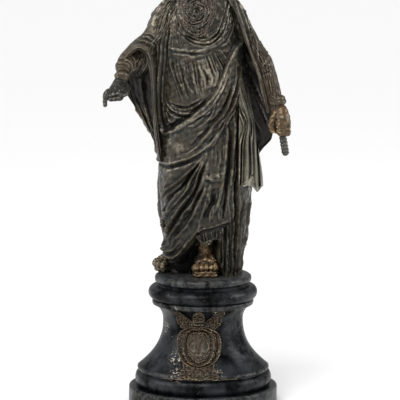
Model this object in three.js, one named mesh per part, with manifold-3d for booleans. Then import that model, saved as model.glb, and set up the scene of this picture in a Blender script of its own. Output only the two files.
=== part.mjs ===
// A draped, bearded saint in patinated terracotta on a turned, waisted pedestal.
// Millimetres, +Z up. The figure faces -Y, and +X is to the right of someone who faces it.
import * as THREE from 'three';
import { mergeVertices } from 'three/addons/utils/BufferGeometryUtils.js';
import Module from 'manifold-3d';

const wasm = await Module();
wasm.setup();

// Driving dimensions of the pedestal
const PEDESTAL_HEIGHT = 165;
const PLINTH_RADIUS = 93.5;
const PLINTH_HEIGHT = 24;
const STEP_RADIUS = 86;
const BELL_RADIUS = 83;
const BELL_BOTTOM = 48;
const WAIST_RADIUS = 50.5;
const WAIST_HEIGHT = 108;
const FILLET_RADIUS = 64;
const TORUS_RADIUS = 68.7;
const TORUS_HEIGHT = 142.5;
const DISC_RADIUS = 61;

// Driving dimensions of the figure, whose own heights are measured from the top of the pedestal
const HEAD_CENTRE = [-6, -9, 386];
const HEAD_HALF = [19.5, 24, 29];
const UNROLLED_RADIUS = 60;
const HALF_TURN = Math.PI * UNROLLED_RADIUS;
const SQUARENESS = 0.9;
const CLEARANCE = 0.3;
const FINEST = 0.05;

const TAU = Math.PI * 2;
const { clamp, lerp, smoothstep } = THREE.MathUtils;

/** Smooth curve through [position, value] stations, level beyond the first and the last. */
function through(stations) {
  const last = stations.length - 1;
  const slope = (i) => (i <= 0 || i >= last ? 0
    : (stations[i + 1][1] - stations[i - 1][1]) / (stations[i + 1][0] - stations[i - 1][0]));
  return (at) => {
    if (at <= stations[0][0]) return stations[0][1];
    if (at >= stations[last][0]) return stations[last][1];
    const i = stations.findIndex(([station]) => station > at) - 1;
    const [x0, y0] = stations[i];
    const [x1, y1] = stations[i + 1];
    const span = x1 - x0;
    const s = (at - x0) / span;
    const rise = y1 - y0;
    const a = slope(i) * span - rise;
    const b = rise - slope(i + 1) * span;
    return y0 + rise * s + s * (1 - s) * (a * (1 - s) + b * s);
  };
}

/** A closed solid from rings: place(angle, t) gives a point, and a fan closes the first and last ring. */
function skin(place, around, along, spacing = (t) => t) {
  const vertices = [];
  const rings = [];
  for (let j = 0; j <= along; j++) {
    const ring = [];
    for (let i = 0; i < around; i++) ring.push(place((i / around) * TAU, spacing(j / along)));
    rings.push(ring);
  }
  rings.forEach((ring) => vertices.push(...ring));
  for (const ring of [rings[0], rings[along]]) {
    vertices.push([0, 1, 2].map((k) => ring.reduce((sum, p) => sum + p[k], 0) / around));
  }
  const bottom = (along + 1) * around;
  const top = bottom + 1;
  const faces = [];
  for (let i = 0; i < around; i++) {
    const next = (i + 1) % around;
    for (let j = 0; j < along; j++) {
      const [a, b] = [j * around + i, j * around + next];
      const [c, d] = [a + around, b + around];
      faces.push([a, b, d], [a, d, c]);
    }
    faces.push([bottom, next, i], [top, along * around + i, along * around + next]);
  }
  return solidOf(vertices.flat(), faces.flat());
}

/** A manifold solid from a vertex list, turned outside out if its faces point in. */
function solidOf(vertices, indices) {
  const geometry = new THREE.BufferGeometry();
  geometry.setAttribute('position', new THREE.Float32BufferAttribute(vertices, 3));
  geometry.setIndex(indices);
  const merged = mergeVertices(geometry, 1e-3);
  const kept = [];
  const index = merged.index.array;
  for (let k = 0; k < index.length; k += 3) {
    const [a, b, c] = index.slice(k, k + 3);
    if (a !== b && b !== c && c !== a) kept.push(a, b, c);
  }
  const make = (triVerts) => new wasm.Manifold(new wasm.Mesh({
    numProp: 3, vertProperties: merged.attributes.position.array, triVerts: new Uint32Array(triVerts),
  }));
  const made = make(kept);
  return made.volume() > 0 ? made : make(kept.reverse());
}

/** Points of a smooth line through the given plane points. */
function smoothLine(points, steps = 20) {
  return new THREE.SplineCurve(points.map(([u, v]) => new THREE.Vector2(u, v))).getPoints(steps);
}

/** Nearest place on a line to (u, v): distance, side (+1 on the line's right) and share of its length. */
function nearest(line, u, v) {
  let best = { distance: Infinity };
  for (let k = 0; k + 1 < line.length; k++) {
    const [du, dv] = [line[k + 1].x - line[k].x, line[k + 1].y - line[k].y];
    const [pu, pv] = [u - line[k].x, v - line[k].y];
    const s = clamp((pu * du + pv * dv) / (du * du + dv * dv), 0, 1);
    const distance = Math.hypot(pu - s * du, pv - s * dv);
    if (distance < best.distance) {
      best = { distance, side: Math.sign(du * pv - dv * pu) < 0 ? 1 : -1, t: (k + s) / (line.length - 1) };
    }
  }
  return best;
}

/** A fold of cloth along a line on an unrolled surface: a ridge, or a valley if its height is negative. */
function fold(points, { height, left = 5, right = left, start = 0.2, end = 0.2 }) {
  return { line: smoothLine(points), height, left, right, start, end };
}

/** Folds spread evenly from the first guide line to the last, with a small regular change in their size. */
function bundle(first, last, count, shape) {
  return Array.from({ length: count }, (_, k) => {
    const share = count > 1 ? k / (count - 1) : 0.5;
    const points = first.map(([u, v], i) => [lerp(u, last[i][0], share), lerp(v, last[i][1], share)]);
    return fold(points, { ...shape, height: shape.height * (1 + 0.25 * Math.sin(2.4 * k + 1)) });
  });
}

/** Sum of the folds at a place on the unrolled surface. */
function relief(folds, u, v) {
  return folds.reduce((sum, { line, height, left, right, start, end }) => {
    const { distance, side, t } = nearest(line, u, v);
    const q = distance / (side > 0 ? right : left);
    if (q >= 1) return sum;
    const taper = Math.min(1, start ? t / start : 1, end ? (1 - t) / end : 1);
    return sum + height * (1 - q * q) ** 2 * smoothstep(taper, 0, 1);
  }, 0);
}

/** A draped form from stations [height, left, right, front, back, set back], with folds and a ripple. */
function drapedForm(stations, folds, around, along, { crowd = 0.35, ripple = () => 0 } = {}) {
  const column = (k) => through(stations.map((station) => [station[0], station[k] ?? 0]));
  const [left, right, front, back, setBack] = [1, 2, 3, 4, 5].map(column);
  const low = stations[0][0];
  const high = stations[stations.length - 1][0];
  const unroll = ([x, h]) => {
    const half = (right(h) - left(h)) / 2;
    const share = clamp((x - (right(h) + left(h)) / 2) / half, -0.999, 0.999);
    return [Math.asin(Math.sign(share) * Math.abs(share) ** (1 / SQUARENESS)) * UNROLLED_RADIUS, h];
  };
  const laid = folds.map((f) => (f.seen ? fold(f.points.map(unroll), f.shape) : f));
  return skin((angle, t) => {
    const even = angle > Math.PI ? angle - TAU : angle;
    const turned = even - crowd * Math.sin(even);
    const h = lerp(low, high, t);
    const half = (right(h) - left(h)) / 2;
    const depth = Math.cos(turned) > 0 ? front(h) : back(h);
    const bow = (w) => Math.sign(w) * Math.abs(w) ** SQUARENESS;
    const [s, c] = [Math.sin(turned), Math.cos(turned)];
    const outward = [s / half, -c / depth];
    const length = Math.hypot(...outward);
    const push = relief(laid, turned * UNROLLED_RADIUS, h) + ripple(turned, h);
    return [
      (left(h) + right(h)) / 2 + half * bow(s) + (push * outward[0]) / length,
      setBack(h) - depth * bow(c) + (push * outward[1]) / length,
      h,
    ];
  }, around, along);
}

/** A fold whose points are [x, height] as they are seen from the front. */
const seen = (points, shape) => ({ seen: true, points, shape });

/** Folds seen from the front, spread between two guide lines. */
const seenBundle = (first, last, count, shape) =>
  Array.from({ length: count }, (_, k) => {
    const share = count > 1 ? k / (count - 1) : 0.5;
    const points = first.map(([u, v], i) => [lerp(u, last[i][0], share), lerp(v, last[i][1], share)]);
    return seen(points, { ...shape, height: shape.height * (1 + 0.25 * Math.sin(2.4 * k + 1)) });
  });

/** A round or flattened limb on a smooth path, with round ends. ripple(angle, t) is added to its radius. */
function limb(path, radii, { wide = 1, up = [0, 0, 1], around = 8, along = 6, ripple = () => 0 } = {}) {
  const curve = new THREE.CatmullRomCurve3(path.map((p) => new THREE.Vector3(...p)));
  const radius = through(radii.map((r, k) => [k / (radii.length - 1), r]));
  const length = curve.getLength();
  const axis = new THREE.Vector3(...up);
  return skin((angle, t) => {
    const along3 = curve.getTangentAt(t);
    const side = new THREE.Vector3().crossVectors(along3, axis).normalize();
    const normal = new THREE.Vector3().crossVectors(side, along3);
    const toEnd = Math.min(t, 1 - t) * length;
    const r = radius(t) + ripple(angle, t);
    const round = toEnd < r ? Math.sqrt(Math.max(0.04, 1 - (1 - toEnd / r) ** 2)) : 1;
    const p = curve.getPointAt(t);
    p.addScaledVector(side, Math.cos(angle) * r * wide * round);
    p.addScaledVector(normal, Math.sin(angle) * r * round);
    return [p.x, p.y, p.z];
  }, around, along, (t) => (1 - Math.cos(Math.PI * t)) / 2);
}

/** The main folds of the front of the robe and the mantle. */
function frontFolds() {
  return [
    // Mantle falling from the right shoulder to the hip
    ...seenBundle(
      [[-57, 334], [-66, 276], [-64, 212], [-57, 150]], [[-40, 340], [-48, 295], [-55, 238], [-53, 186]],
      2, { height: 7, left: 7, start: 0.05, end: 0.15 }),
    // Border of the mantle, down the chest, round the low pocket and up to the left arm
    seen(
      [[-35, 345], [-43, 301], [-49, 250], [-51, 206], [-47, 184],
        [-29, 192], [-4, 210], [18, 228], [31, 251], [41, 278]],
      { height: 8, left: 4, right: 18, start: 0.02, end: 0.1 }),
    // Ridges that sweep from the gathers at the left arm down to the right hip and thigh
    ...seenBundle([[37, 262], [24, 212], [3, 176], [-27, 148]], [[48, 256], [38, 200], [17, 160], [-12, 128]],
      3, { height: 8, left: 7, start: 0.1, end: 0.3 }),
    seen([[-57, 140], [-42, 137], [-26, 139], [0, 152]], { height: -7, left: 6 }),
    // Fan of folds over the right shin, drawn up to the left thigh
    ...seenBundle([[-3, 148], [-20, 106], [-38, 67], [-46, 36]], [[9, 142], [1, 94], [-8, 55], [-19, 26]],
      3, { height: 7, left: 7, start: 0.15, end: 0.05 }),
    // Hollow under the raised hem, where the left foot comes out
    seen([[-46, -6], [-42, 4], [-38, 9]], { height: -20, left: 12, start: 0, end: 0.2 }),
    seen([[-27, -2], [-21, 20], [-10, 40]], { height: -22, left: 12, right: 14, start: 0, end: 0.2 }),
    seen([[3, -4], [3, 18], [3, 36]], { height: -24, left: 15, right: 16, start: 0, end: 0.2 }),
    // Hem of the mantle across the shins
    seen([[-50, 26], [-38, 19], [-25, 24], [-15, 42], [-4, 62], [12, 69], [36, 78]],
      { height: 8, left: 12, right: 4, start: 0.05 }),
    // Left leg under the cloth, and the right thigh
    seen([[20, 178], [13, 128], [10, 82]], { height: 9, left: 17, start: 0.3, end: 0.3 }),
    seen([[-34, 150], [-42, 105], [-44, 75]], { height: 7, left: 18, start: 0.3, end: 0.3 }),
    seen([[30, 200], [28, 143], [25, 80]], { height: -6, left: 6 }),
    // Long folds of the robe to the ground by the left foot
    ...seenBundle([[20, 62], [19, 30], [18, 0]], [[36, 76], [32, 34], [30, 0]],
      2, { height: 7, left: 6, end: 0 }),
    seen([[43, 116], [40, 61], [38, 0]], { height: -12, left: 6, end: 0 }),
    seen([[53, 108], [49, 50], [46, 0]], { height: 8, left: 7, end: 0 }),
    // Pleats of the robe below the breast band
    ...seenBundle([[-22, 280], [-27, 246], [-34, 212]], [[26, 282], [27, 262], [22, 240]],
      4, { height: 3.5, left: 5, start: 0.05, end: 0.3 }),
    seen([[-38, 296], [-26, 287], [-7, 283], [12, 288], [30, 301], [41, 316]], { height: 5, left: 6 }),
    // Cowl of the neckline under the beard
    seen([[-32, 334], [-22, 309], [-4, 299], [14, 306], [25, 328], [29, 350]],
      { height: 8, left: 8, start: 0, end: 0 }),
    // Shadow between the breast and the mantle over the left arm
    seen([[43, 316], [47, 290], [52, 262], [58, 225]], { height: -9, left: 7, start: 0.2 }),
  ];
}

/** Folds laid on both sides of the seam at the middle of the back, half a turn from the front. */
const acrossSeam = (folds) => folds.flatMap((f) => [
  f, { ...f, line: f.line.map((p) => new THREE.Vector2(p.x - 2 * HALF_TURN, p.y)) }]);

/** The folds of the mantle's back: hanging from the shoulders, and swept across them. */
function backFolds() {
  const side = (s, places) => places.map(([u, h]) => [HALF_TURN + s * u, h]);
  const hanging = [[62, 335], [50, 230], [46, 120]];
  return acrossSeam([
    ...bundle(side(-1, hanging), side(1, hanging), 6, { height: 7, left: 9, start: 0.1, end: 0.1 }),
    ...bundle(side(1, [[-60, 320], [-10, 270], [50, 250]]), side(1, [[-66, 250], [-8, 190], [60, 165]]),
      3, { height: 5, left: 9 }),
  ]);
}

/** The robe and the mantle wrapped round the body, from the ground to the neck. */
function robedBody() {
  const stations = [
    [0, -44, 46, 30, 34], [20, -46, 47, 32, 35], [42, -45, 53, 34, 36], [73, -50, 56, 37, 38],
    [103, -55, 59, 39, 39], [133, -58, 62, 40, 40], [164, -60, 63, 40, 40], [194, -60, 60, 40, 38],
    [224, -61, 56, 38, 36], [255, -62, 52, 36, 34], [285, -62, 48, 33, 33], [300, -60, 46, 31, 32],
    [318, -54, 43, 27, 29], [332, -46, 40, 22, 26], [343, -34, 33, 17, 22], [351, -20, 16, 14, 17],
    [366, -17, 9, 12, 14],
  ];
  const lowerBack = bundle(
    [[HALF_TURN - 70, 130], [HALF_TURN - 66, 60], [HALF_TURN - 70, 0]],
    [[HALF_TURN + 70, 130], [HALF_TURN + 60, 60], [HALF_TURN + 64, 0]],
    6, { height: 6, left: 9, start: 0.3, end: 0 });
  return drapedForm(stations, [...frontFolds(), ...acrossSeam(lowerBack)], 32, 24);
}

/** The mantle's back and its two sides, which hang from the arms behind the body. */
function mantleBack() {
  const stations = [
    [112, -45, 52, -14, 40], [130, -56, 61, -10, 44], [148, -60, 68, -4, 47], [158, -61, 75, -2, 48],
    [170, -65, 85, 0, 48], [182, -70, 87, 2, 48], [209, -86, 84, 3, 47], [224, -95, 81, 4, 46],
    [240, -98, 78, 5, 45], [255, -94, 72, 6, 43], [270, -88, 66, 7, 42], [285, -80, 59, 8, 40],
    [300, -68, 53, 9, 38], [315, -60, 48, 10, 35], [330, -52, 42, 10, 31], [341, -42, 36, 10, 26],
    [349, -30, 26, 8, 20],
  ];
  const sides = [
    seen([[-88, 262], [-84, 215], [-66, 172]], { height: 3.5, left: 5, start: 0.1 }),
    ...seenBundle([[56, 300], [66, 240], [74, 190]], [[66, 300], [76, 240], [82, 190]],
      2, { height: 3.5, left: 4 }),
  ];
  return drapedForm(stations, [...sides, ...backFolds()], 21, 12, { crowd: -0.3 });
}

/** The gathered end of the mantle, which hangs over the left hip and ends in a stepped hem. */
function mantleTail() {
  const [top, hem] = [262, 106];
  const leftEdge = through([[0, 42], [0.5, 38], [1, 33]]);
  const rightEdge = through([[0, 50], [0.5, 64], [1, 75]]);
  const proud = through([[0, 32], [0.35, 42], [0.7, 41], [1, 38]]);
  const thick = 16;
  return skin((angle, t) => {
    const across = (1 - Math.cos(angle)) / 2;
    const front = angle < Math.PI;
    const x = lerp(leftEdge(t), rightEdge(t), across);
    const wave = 3.2 * Math.cos(across * TAU * 3.5) * smoothstep(t, 0, 0.3);
    const curl = 26 * across ** 2;
    const stepped = t * (top - hem - 8 * Math.cos(across * TAU * 1.5) - 6 * across);
    const y = -proud(t) + curl + (front ? -wave * Math.sin(angle) : thick * Math.sin(-angle));
    return [x, y, top - stepped];
  }, 18, 6);
}

/** The right arm: the mantle over it, its edge, which arches over the forearm and falls, and the sleeve. */
function rightArm() {
  const mantle = [
    [242, -84, -76, 4, 4, -12], [249, -98, -68, 17, 11, -14], [262, -109, -61, 26, 18, -12],
    [277, -100, -56, 27, 22, -8], [293, -85, -50, 26, 24, -5], [308, -70, -40, 26, 25, -2],
    [323, -63, -32, 23, 24], [338, -53, -26, 17, 20], [350, -36, -18, 9, 12],
  ];
  const edge = [
    [-107, -24, 258], [-97, -37, 279], [-78, -39, 292], [-65, -38, 275], [-61, -36, 236], [-59, -33, 188],
    [-53, -26, 150],
  ];
  const wrinkles = (angle, t) => 1.2 * Math.cos(t * 50 + Math.sin(angle)) * smoothstep(t, 0.2, 0.4);
  return [
    drapedForm(mantle, [], 12, 9, { crowd: 0.2 }),
    limb(edge, [5, 9, 10.4, 6.5, 4.6, 4, 1.2], { wide: 0.4, up: [0, 1, 0.001], around: 6, along: 13 }),
    limb([[-86, -10, 286], [-93, -27, 277], [-97.5, -43, 267], [-99.4, -51, 256]], [14, 12, 10, 9],
      { around: 8, along: 8, ripple: wrinkles }),
    limb([[-98.8, -48, 262], [-99.6, -53, 250]], [9.8, 9.6], { around: 9, along: 2 }),
  ];
}

/** A finger of three bones from its knuckle. */
const finger = (path, thick = 3) => limb(path, [thick, thick * 0.9, thick * 0.75], { around: 5, along: 3 });

/** The right hand, held out palm down with the forefinger dropped and the others closed under the palm. */
function rightHand() {
  const closed = [0, 1, 2].map((k) => finger(
    [[-112.5 + k * 4.8, -80 - k, 240], [-113 + k * 5, -86 + k * 0.6, 235], [-110 + k * 5, -80 + k, 231.5]],
    3.6));
  return [
    limb(
      [[-99.6, -53, 252], [-103.5, -64, 246], [-107.5, -74, 241.5], [-110, -80, 238.5]],
      [7.4, 9, 9.4, 7.4], { around: 8, along: 4 }),
    finger([[-110, -77, 242], [-117, -86, 238.5], [-118.6, -88.4, 231], [-118.4, -87, 220.5]], 3.5),
    finger([[-96, -58, 247], [-94, -67, 242.5], [-101, -78, 235.5]], 4),
    ...closed,
  ];
}

/** The left arm: the mantle over the shoulder and elbow to the wrist, its front edge, and the turned cuff. */
function leftArm() {
  const mantle = [
    [202, 86, 96, 5, 5, -31], [216, 80, 99, 12, 12, -28], [238, 73, 95, 17, 15, -22],
    [262, 65, 88, 19, 18, -14], [280, 57, 79, 20, 19, -9], [305, 47, 64, 19, 18, -4], [335, 34, 48, 16, 16],
    [352, 22, 34, 8, 10, 3],
  ];
  const edge = [[38, -9, 348], [51, -23, 307], [63, -31, 271], [75, -36, 228], [80, -38, 207]];
  const atElbow = (h) => Math.exp(-(((h - 268) / 22) ** 2));
  const creases = (angle, h) => 1.3 * Math.cos(h / 2.6 + 2 * Math.sin(angle)) * atElbow(h);
  return [
    drapedForm(mantle, [], 11, 12, { crowd: 0.2, ripple: creases }),
    limb(edge, [2, 2.8, 2.8, 2.6, 1.6], { around: 5, along: 8 }),
    limb([[89, -29, 226], [93, -32, 218], [95, -34, 211]], [8.6, 10.8, 9.2],
      { up: [0, 1, 0], around: 9, along: 3 }),
  ];
}

const ROD_TOP = [95.4, -38.4, 193];
const ROD_END = [103, -38, 154];
const ROD_RADIUS = 4.4;

/** The left hand closed round the rod: the back of the hand, four fingers side by side, and the thumb. */
function leftHand() {
  const fingers = [0, 1, 2, 3].map((k) => finger(
    [[93 + k * 3.9, -42 + k * 0.8, 196], [93.4 + k * 3.9, -46 + k * 1.2, 188], [95 + k * 3, -43 + k, 181.5]],
    3.6));
  return [
    limb([[95, -32, 217], [96.6, -35, 207], [98, -38, 196], [99.2, -38.4, 184]], [6.6, 8.4, 9.6, 8.8],
      { up: [0, 1, 0], around: 8, along: 5 }),
    limb([[91.5, -34.5, 207], [88.6, -38, 197], [89.6, -38, 188]], [5, 6.2, 4.6], { around: 7, along: 3 }),
    finger([[90, -37, 209], [85, -41.5, 197], [87, -43.4, 182]], 4.1),
    ...fingers,
  ];
}

/** The short rod with spiral grooves, from its head inside the fist to its free end. */
function rod(extra = 0) {
  const groove = (angle, t) => 0.45 * Math.cos(t * 50 + angle * 2);
  return limb([ROD_TOP, [99, -38.4, 174], ROD_END], [ROD_RADIUS + extra, ROD_RADIUS + extra], {
    around: 8, along: 8, up: [0, 1, 0], ripple: extra ? () => 0.45 : groove,
  });
}

/** A sandalled foot from heel to toes on a thick sole, with its ankle. inner is the side of the great toe. */
function foot(heel, toes, ankle, halfWidth, inner) {
  const start = new THREE.Vector3(...heel);
  const ahead = new THREE.Vector3(...toes).sub(start);
  const across = new THREE.Vector3(-ahead.y, ahead.x, 0).normalize().multiplyScalar(halfWidth);
  const at = (share, side, h) => start.clone()
    .addScaledVector(ahead, share)
    .addScaledVector(across, side)
    .add({ x: 0, y: 0, z: h })
    .toArray();
  const toeSizes = [[-0.75, 4.3], [-0.28, 3.3], [0.08, 3.1], [0.43, 2.9], [0.76, 2.7]];
  const toeRow = toeSizes.map(([side, thick]) => limb(
    [at(0.6, side * inner, 11), at(1, side * inner, 9.6)],
    [4.6, 4.4], { wide: thick / 4.6, around: 5, along: 2 }));
  return [
    limb([at(-0.05, 0, 3), at(0.5, 0, 3), at(1.04, 0, 3)], [2.6, 3, 2.7],
      { wide: halfWidth / 3, around: 8, along: 4 }),
    limb([at(0.05, 0, 18), at(0.4, 0, 19), at(0.9, 0, 10)], [7.6, 9, 5],
      { wide: halfWidth * 0.1, around: 8, along: 4 }),
    limb([ankle, at(0.24, 0, 30), at(0.34, 0, 19)], [8.4, 8.4, 9], { around: 8, along: 3 }),
    ...toeRow,
  ];
}

/** The head: an egg with brow, eye hollows, nose, cheeks and lips laid on it. */
function head() {
  const [cx, cy, cz] = HEAD_CENTRE;
  const [hx, hy, hz] = HEAD_HALF;
  const features = [
    fold([[0, 5], [0, -9]], { height: 7.5, left: 4.5, start: 0.6, end: 0.1 }),
    ...[-1, 1].flatMap((s) => [
      fold([[s * 2, 5], [s * 8, 7], [s * 14, 4]], { height: 3.5, left: 4 }),
      fold([[s * 5, -2], [s * 11, -2]], { height: -5, left: 4.5 }),
      fold([[s * 12, -10], [s * 9, -8]], { height: 2, left: 6, start: 0, end: 0 }),
    ]),
    fold([[-6, -15], [0, -14], [6, -15]], { height: 2.4, left: 3 }),
  ];
  return skin((angle, t) => {
    const even = angle > Math.PI ? angle - TAU : angle;
    const turned = even - 0.4 * Math.sin(even);
    const lift = lerp(-0.49, 0.49, t) * Math.PI;
    const [s, c] = [Math.sin(turned), Math.cos(turned)];
    const flat = Math.cos(lift) ** 0.85;
    const z = hz * Math.sin(lift);
    const jaw = 1 - 0.16 * smoothstep(-z, 0, hz);
    const push = relief(features, turned * hx, z);
    return [cx + (hx * jaw * flat + push) * s, cy - (hy * jaw * flat + push) * c, cz + z];
  }, 16, 11);
}

/** Hair that frames the face, the moustache, and the full beard that hangs in wavy locks. */
function hairAndBeard() {
  const [cx, cy, cz] = HEAD_CENTRE;
  const locks = (count, deep) => (angle, h) => deep * Math.cos(count * angle + h / 7);
  const hair = [
    [352, -28, 16, 10, 22, 3], [360, -32, 20, 12, 25, 3], [372, -33, 21, 14, 27, 3],
    [386, -31.6, 19.6, 17, 27, 2], [398, -28.6, 17, 21, 25], [409, -23, 12, 20, 21, -2],
    [416, -16, 5, 14, 15, -3], [420, -9, -3, 6, 7, -4],
  ];
  const beard = [
    [301, -12, 0, 22, 6, -16], [312, -27, 12, 29, 10, -11], [334, -32, 18, 29, 14, -7],
    [356, -29, 18.5, 23, 18, -5], [370, -24, 13, 16, 18, -8],
  ];
  const moustache = [-1, 1].map((s) => limb(
    [[cx, cy - 24, cz - 10.5], [cx + s * 6, cy - 23, cz - 12.5], [cx + s * 12, cy - 16, cz - 24]],
    [2, 2.6, 1.6], { around: 5, along: 3 }));
  return [
    drapedForm(hair, [], 14, 8, { crowd: 0, ripple: locks(8, 0.9) }),
    drapedForm(beard, [], 16, 8, { crowd: 0.35, ripple: locks(7, 1.2) }),
    ...moustache,
  ];
}

/** All parts fused into one solid, with its inner voids filled and its slivers taken out. */
function fused(parts) {
  const joined = parts.reduce((sum, part) => sum.add(part));
  return joined.decompose().sort((a, b) => b.volume() - a.volume())[0].simplify(FINEST);
}

/** A big box between two heights, to trim with. */
function slab(low, high) {
  const box = new THREE.BoxGeometry(400, 400, high - low).translate(0, 0, (low + high) / 2);
  box.deleteAttribute('normal');
  box.deleteAttribute('uv');
  return solidOf([...box.attributes.position.array], [...box.index.array]);
}

/** The whole saint, standing at height 0. */
function saint() {
  const parts = [
    robedBody(), mantleBack(), mantleTail(), ...rightArm(), ...rightHand(), ...leftArm(), ...leftHand(),
    ...foot([3, 3, 0], [2.8, -32, 0], [2.5, -4, 50], 16, 1),
    ...foot([-36, 37, 4], [-53.5, 10, 4], [-34, 22, 44], 12, -1),
    head(), ...hairAndBeard(),
  ];
  return fused([fused(parts).subtract(slab(-60, 0)).subtract(rod(CLEARANCE))]);
}

/** Radius of the pedestal's waisted drum at a height. */
function drumRadius(z) {
  const bell = ((WAIST_HEIGHT - z) / (WAIST_HEIGHT - BELL_BOTTOM)) ** 2.3 * (BELL_RADIUS - WAIST_RADIUS);
  const cove = ((z - WAIST_HEIGHT) / 18.5) ** 2.2 * 9;
  return WAIST_RADIUS + (z < WAIST_HEIGHT ? bell : cove);
}

/** Profile of the turned pedestal, from the middle of its underside to the middle of its top. */
function pedestalProfile() {
  const stretch = (from, to, steps, place) =>
    Array.from({ length: steps + 1 }, (_, k) => place(lerp(from, to, k / steps)));
  const bulge = (radius, proud, middle, half) => (a) =>
    [radius + proud * Math.cos(a), middle + half * Math.sin(a)];
  return [
    [0, 0], [PLINTH_RADIUS - 1.5, 0], [PLINTH_RADIUS, 1.5], [PLINTH_RADIUS, PLINTH_HEIGHT - 2],
    [PLINTH_RADIUS - 2, PLINTH_HEIGHT],
    ...stretch(-1.3, 1.3, 4, bulge(STEP_RADIUS - 6, 6, 33.5, 9.5)),
    [80.5, 44], [BELL_RADIUS, 45.5],
    ...stretch(BELL_BOTTOM, WAIST_HEIGHT, 6, (z) => [drumRadius(z), z]),
    ...stretch(WAIST_HEIGHT + 6, 126.5, 2, (z) => [drumRadius(z), z]),
    [FILLET_RADIUS - 0.5, 127.5], [FILLET_RADIUS, 132.5], [FILLET_RADIUS - 2, 134],
    ...stretch(-1.35, 1.35, 4, bulge(TORUS_RADIUS - 8, 8, TORUS_HEIGHT, 8.5)),
    [58.5, 152], [DISC_RADIUS, 157], [DISC_RADIUS, 161.5], [57.5, PEDESTAL_HEIGHT],
    [0, PEDESTAL_HEIGHT],
  ];
}

/** The pedestal, turned about the vertical axis, or a copy of it that is wider all round to cut with. */
function pedestal(wider = 0) {
  const profile = pedestalProfile().map(([r, z]) => new THREE.Vector2(r > 0 ? r + wider : 0, z));
  const lathe = new THREE.LatheGeometry(profile, 28);
  lathe.rotateX(Math.PI / 2);
  lathe.deleteAttribute('normal');
  lathe.deleteAttribute('uv');
  return solidOf([...lathe.attributes.position.array], [...lathe.index.array]);
}

const ARMS_MIDDLE = 73;
const ARMS_OFF_CENTRE = -5.4;

/** One raised form of the coat of arms, bent round the drum: an oval with a domed front and a ring on it. */
function boss({ at, half, turn = 0, proud, dome = 0.5, ring = 0, around = 8, rings = 1 }) {
  const buried = -4;
  return skin((angle, t) => {
    const share = Math.min(1, 0.1 + 0.9 * t * (rings + 1) / rings);
    const [a, b] = [half[0] * share * Math.cos(angle), half[1] * share * Math.sin(angle)];
    const s = at[0] + a * Math.cos(turn) - b * Math.sin(turn);
    const h = Math.max(at[1] + a * Math.sin(turn) + b * Math.cos(turn), 46 - ARMS_MIDDLE);
    const swell = 1 - dome * share ** 2 + ring * Math.exp(-(((share - 0.8) / 0.15) ** 2));
    const r = drumRadius(ARMS_MIDDLE + h);
    const out = r + (t < 1 ? proud * swell : buried);
    const bend = (s + ARMS_OFF_CENTRE) / r;
    return [out * Math.sin(bend), -out * Math.cos(bend), ARMS_MIDDLE + h];
  }, around, rings + 1);
}

/** The coat of arms: a ringed oval shield with a plain leaf, a tiara between two wings, and a foot. */
function armsPlate() {
  const forms = [
    { at: [0, 10], half: [29, 23], proud: 3, dome: 0.25, ring: 0.9, around: 14, rings: 3 },
    { at: [0, 9], half: [5, 13], proud: 5, dome: 0.6 },
    { at: [0, 41], half: [8, 12], proud: 6.5, dome: 0.6 },
    { at: [0, -18], half: [22, 8], proud: 5, dome: 0.3, around: 12 },
  ];
  const pairs = [-1, 1].flatMap((s) => [
    { at: [s * 19, 40], half: [16, 7.5], turn: s * 0.78, proud: 4.6, dome: 0.3, around: 10 },
    { at: [s * 18, -12], half: [5, 7], turn: s * 0.5, proud: 5, dome: 0.5 },
  ]);
  return fused([fused([...forms, ...pairs].map(boss)).subtract(pedestal(CLEARANCE))]);
}

/** A named mesh from a solid, raised to a height. */
function piece(name, made, height, look) {
  const { vertProperties, triVerts } = made.getMesh();
  const geometry = new THREE.BufferGeometry();
  geometry.setAttribute('position', new THREE.Float32BufferAttribute(vertProperties, 3));
  geometry.setIndex([...triVerts]);
  const mesh = new THREE.Mesh(geometry, new THREE.MeshStandardMaterial(look));
  mesh.name = name;
  mesh.position.z = height;
  return mesh;
}

const BRONZED = { color: 0x37332a, roughness: 0.42, metalness: 0.55 };
const BLACKENED = { color: 0x17191c, roughness: 0.38, metalness: 0.1 };
const RUBBED = { color: 0x5a4630, roughness: 0.5, metalness: 0.5 };

const statue = new THREE.Group();
statue.add(
  piece('pedestal', pedestal(), 0, BLACKENED),
  piece('coat_of_arms', armsPlate(), 0, RUBBED),
  piece('saint', saint(), PEDESTAL_HEIGHT, BRONZED),
  piece('rod', rod(), PEDESTAL_HEIGHT, BRONZED),
);

export default statue;
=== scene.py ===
import math

import bpy
import numpy as np
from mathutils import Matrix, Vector


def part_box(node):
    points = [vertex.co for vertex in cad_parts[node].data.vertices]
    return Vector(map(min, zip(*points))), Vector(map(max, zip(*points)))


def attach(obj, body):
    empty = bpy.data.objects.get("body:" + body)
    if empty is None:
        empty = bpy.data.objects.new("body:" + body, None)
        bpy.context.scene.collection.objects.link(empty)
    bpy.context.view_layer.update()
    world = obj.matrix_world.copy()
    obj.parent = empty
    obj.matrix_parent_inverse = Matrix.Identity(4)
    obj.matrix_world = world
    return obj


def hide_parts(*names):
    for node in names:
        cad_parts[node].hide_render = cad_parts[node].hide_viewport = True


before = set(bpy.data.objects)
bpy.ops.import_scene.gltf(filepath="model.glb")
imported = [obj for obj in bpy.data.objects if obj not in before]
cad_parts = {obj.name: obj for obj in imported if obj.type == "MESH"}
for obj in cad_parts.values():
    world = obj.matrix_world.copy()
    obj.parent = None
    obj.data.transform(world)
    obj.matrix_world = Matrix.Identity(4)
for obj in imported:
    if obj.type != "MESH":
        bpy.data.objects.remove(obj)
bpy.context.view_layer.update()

# A draped, bearded saint in bronzed terracotta on a turned black pedestal.
# Shapes are worked out in millimetres, and the figure's own heights start at the top of the pedestal.
PEDESTAL_TOP = 1000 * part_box("pedestal")[1].z
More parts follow.
